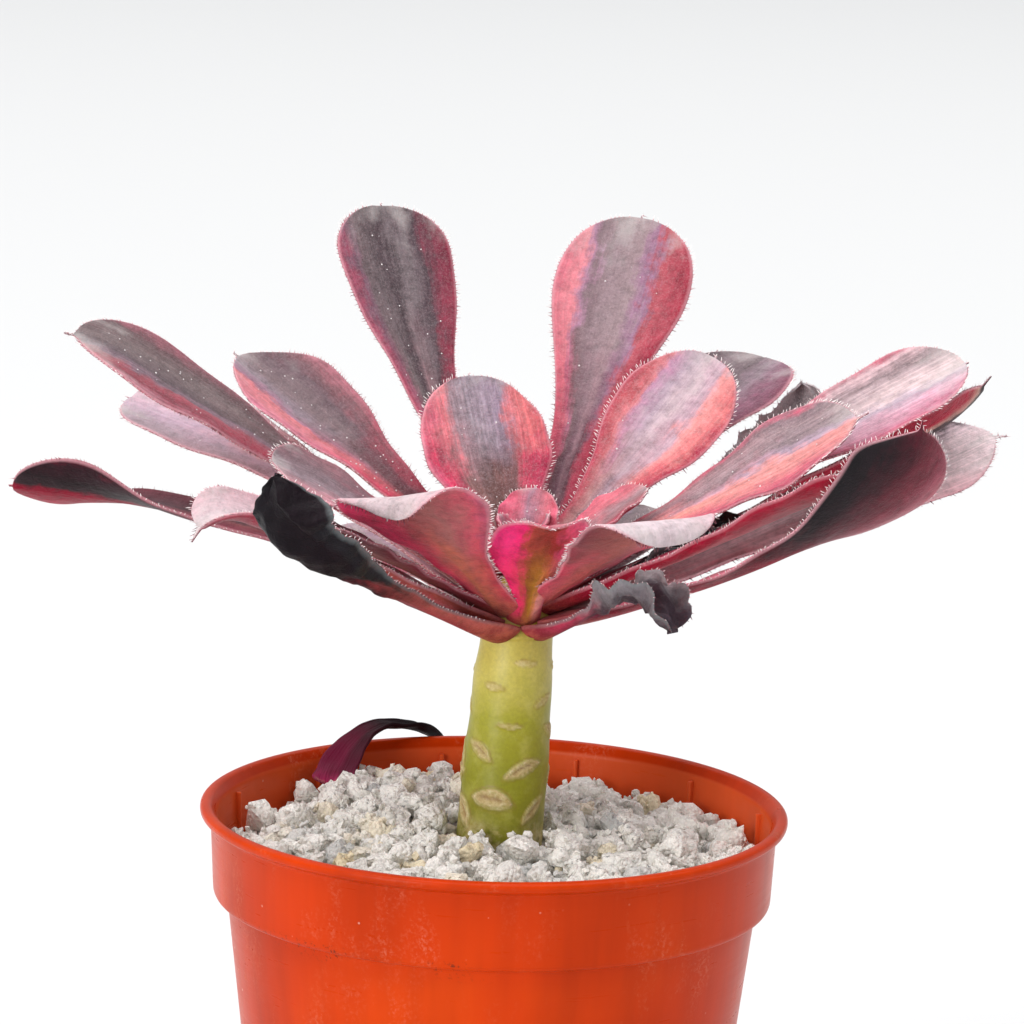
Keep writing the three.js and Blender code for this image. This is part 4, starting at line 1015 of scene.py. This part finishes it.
def grain(bm, layer, spot, size, chance, corners=22, value=None):
    """One broken grain about this many millimetres across."""
    turn = Quaternion([chance.gauss(0, 1) for _ in range(4)]).normalized()
    squeeze = Vector((1, chance.uniform(0.75, 0.98), chance.uniform(0.65, 0.9)))
    points = []
    for _ in range(corners):
        way = Vector([chance.gauss(0, 1) for _ in range(3)]).normalized()
        point = Vector(a * b for a, b in zip(way * size / 2 * chance.uniform(0.92, 1.06), squeeze))
        points.append(bm.verts.new((spot + turn @ point) * MM))
    hull = bmesh.ops.convex_hull(bm, input=points, use_existing_faces=False)
    spare = {item for key in ("geom_interior", "geom_unused") for item in hull[key]
             if isinstance(item, bmesh.types.BMVert)}
    bmesh.ops.delete(bm, geom=list(spare), context="VERTS")
    value = value or (chance.random(), chance.random(), chance.random())
    for vertex in points:
        if vertex.is_valid:
            vertex[layer] = value
    return value


def room_for(x, y, z, size):
    """Whether a grain of this size fits here between the stem and the wall."""
    return (math.hypot(x, y) < inner_wall(z) - 0.46 * size - 0.2
            and math.hypot(x - stem_centre(z).x, y) > stem_radius(z) + 0.42 * size)


BED_REACH, ROW_PITCH = 51, 0.866


def grain_layer(step, sizes, sink, seed, crumbs=0):
    """Grains on a shaken grid over the mound, with crumbs stuck to the top of each."""
    chance = random.Random(seed)
    batches = []
    rows = int(2 * BED_REACH / (step * ROW_PITCH)) + 1
    for i in range(rows):
        for j in range(int(2 * BED_REACH / step) + 1):
            x = -BED_REACH + (j + 0.5 * (i % 2)) * step + chance.uniform(-0.4, 0.4) * step
            y = -BED_REACH + i * step * ROW_PITCH + chance.uniform(-0.4, 0.4) * step
            size = lerp(sizes[0], sizes[1], chance.random() ** 1.5)
            heaped = 3.2 * math.exp(-((x + 14) ** 2 + (y - 30) ** 2) / 500)
            z = mound(math.hypot(x, y)) + heaped + chance.uniform(-0.25, 0.25) * size - sink
            if not room_for(x, y, z, size):
                continue
            if not batches or len(batches[-1].verts) > 900:
                batches.append(bmesh.new())
                batches[-1].verts.layers.float_vector.new("grain")
            bm = batches[-1]
            layer = bm.verts.layers.float_vector["grain"]
            value = grain(bm, layer, Vector((x, y, z)), size, chance)
            for _ in range(int(crumbs * size)):
                way = Vector((chance.gauss(0, 1), chance.gauss(0, 1), abs(chance.gauss(0, 1)))).normalized()
                small = chance.uniform(1.0, 2.4)
                spot = Vector((x, y, z)) + way * size * 0.4
                if room_for(spot.x, spot.y, spot.z, small):
                    grain(bm, layer, spot, small, chance, 12, value)
    return batches


bed = spun([(0, MOUND_TOP - 3)] + [(r, mound(r) - 2.6) for r in (8, 16, 24, 32, 40, 46)]
           + [(inner_wall(84) - 0.4, 83.6), (inner_wall(78) - 0.5, 78.4), (0, 78.2)], 96)
stones_layer = bed.verts.layers.float_vector.new("grain")
for vertex in bed.verts:
    vertex[stones_layer] = (0.3, 0.9, 0)
for batch in grain_layer(2.7, (1.8, 3.8), 1.2, 11) + grain_layer(4.8, (4.2, 8.4), 0.1, 12, crumbs=0.9):
    add_part(bed, batch, 0)
grains = piece_from(bed, "pumice_grains", [pumice_finish()], ["pumice_top_dressing"])
grains.data.set_sharp_from_angle(angle=math.radians(52))

# %% [markdown]
# ## The fallen leaf
# A shed leaf has dried to a dark twisted strip. It stands on the pumice at the back left and arches over the
# rim. A tube of rings is swept along its route.

# %% The fallen leaf
FALLEN_ROUTE = [(-31.5, 30.5, 91), (-30.5, 34.5, 93.2), (-27.5, 40, 97), (-23, 45, 99.2),
                (-18, 49.5, 98.4), (-13.5, 54.5, 96.2), (-10.5, 58.5, 92.5)]
FALLEN_WIDTHS = [3.9, 4.2, 3.4, 2.4, 1.8, 1.7, 1.1]


def along_route(points, t):
    """A smooth curve through the points, at t from 0 to 1, and its direction there."""
    spot = clamp(t) * (len(points) - 1)
    k = min(int(spot), len(points) - 2)
    u = spot - k
    p = [Vector(points[max(0, min(len(points) - 1, k + d))]) for d in (-1, 0, 1, 2)]
    a, b = 2 * p[1], p[2] - p[0]
    c, d = 2 * p[0] - 5 * p[1] + 4 * p[2] - p[3], 3 * p[1] - p[0] - 3 * p[2] + p[3]
    return 0.5 * (a + b * u + c * u * u + d * u ** 3), (b + 2 * c * u + 3 * d * u * u).normalized()


def fallen_finish():
    finish, tree, skin = new_finish("shed_leaf", Roughness=0.55, Specular_IOR_Level=0.1)
    place = read(tree, "leaf_place")
    lane, along, _ = parts_of(tree, place)
    threads = cloud(tree, stretched(tree, place, (9, 1.5, 0.5)), 1, 4, 0.6)
    way = math_of(tree, "MULTIPLY_ADD", threads, 0.2, along)
    body = ramp(tree, way, [(0.05, "d8a08c"), (0.12, "a82c5c"), (0.22, "5c1830"), (0.45, "3c0c1c"),
                            (0.62, "240a14"), (0.9, "12080c")])
    across = math_of(tree, "MULTIPLY_ADD", threads, 0.3, lane)
    middle = math_of(tree, "MULTIPLY", remap(tree, across, -0.2, 0.25), remap(tree, along, 0.55, 0.25))
    body = mix(tree, math_of(tree, "MULTIPLY", middle, 0.5), body, paint("7c123c"))
    tree.links.new(body, skin.inputs["Base Color"])
    bumped(tree, skin, threads, 0.0006, 0.6)
    return finish


FALLEN_RINGS, FALLEN_AROUND = 90, 32
bm, (layer,), places = tube(FALLEN_RINGS, FALLEN_AROUND, "leaf_place")
for vertex, ring, step in places:
    t = ring / (FALLEN_RINGS - 1)
    place, along = along_route(FALLEN_ROUTE, t)
    across = Vector((-along.y, along.x, 0)).normalized()
    up = along.cross(across)
    half = along_route([(w, 0, 0) for w in FALLEN_WIDTHS], t)[0].x
    half *= 1 - 0.75 * smooth((t - 0.93) / 0.07)
    angle = 2 * math.pi * step / FALLEN_AROUND
    lane, side = math.cos(angle), math.sin(angle)
    curl = -0.9 * (1 - lane * lane) + 0.5 * noise.noise(Vector((lane * 1.5, t * 9, 4)))
    thick = 0.42 * min(1, abs(side) / 0.35) * (1 if side >= 0 else -1)
    ragged = 1 + 0.1 * noise.noise(Vector((t * 11, lane, 0)))
    vertex.co = (place + across * lane * half * ragged + up * (curl + thick)) * MM
    vertex[layer] = (lane, t, side)
bmesh.ops.recalc_face_normals(bm, faces=bm.faces)
piece_from(bm, "fallen_leaf_blade", [fallen_finish()], ["fallen_leaf"])

# %% [markdown]
# ## Floor and light
# The plant stands on a plain pale floor in soft studio light: a wide light overhead, one at the left front, a
# small one above it and a pale surrounding glow.

# %% Floor and light
floor_mesh = bpy.data.meshes.new("studio_floor")
bm = bmesh.new()
bmesh.ops.create_grid(bm, x_segments=1, y_segments=1, size=12)
bm.to_mesh(floor_mesh)
bm.free()
floor = bpy.data.objects.new("studio_floor", floor_mesh)
bpy.context.scene.collection.objects.link(floor)
paper = new_finish("pale_floor", Base_Color=paint("d4d4d4"), Roughness=0.9)
floor_mesh.materials.append(paper[0])

world = bpy.data.worlds.new("studio")
bpy.context.scene.world = world
world.use_nodes = True
world.node_tree.nodes["Background"].inputs[0].default_value = (0.96, 0.98, 1.0, 1)
world.node_tree.nodes["Background"].inputs[1].default_value = 0.5


def soft_light(name, place, size, power, colour=(1, 1, 1)):
    lamp = bpy.data.lights.new(name, "AREA")
    lamp.shape, lamp.size, lamp.energy, lamp.color = "DISK", size, power, colour
    light = bpy.data.objects.new(name, lamp)
    light.location = place
    light.rotation_mode = "QUATERNION"
    light.rotation_quaternion = (Vector((0, 0, 0.12)) - Vector(place)).to_track_quat("-Z", "Y")
    bpy.context.scene.collection.objects.link(light)


soft_light("overhead_light", (0, 0.4, 4), 8, 300)
soft_light("front_light", (-1.1, -1.35, 0.5), 0.9, 16, (1, 0.985, 0.96))
soft_light("key_light", (-0.6, -0.5, 1.4), 0.6, 3, (1, 0.985, 0.96))
bpy.context.scene.view_settings.view_transform = "Standard"
print("lights ready")
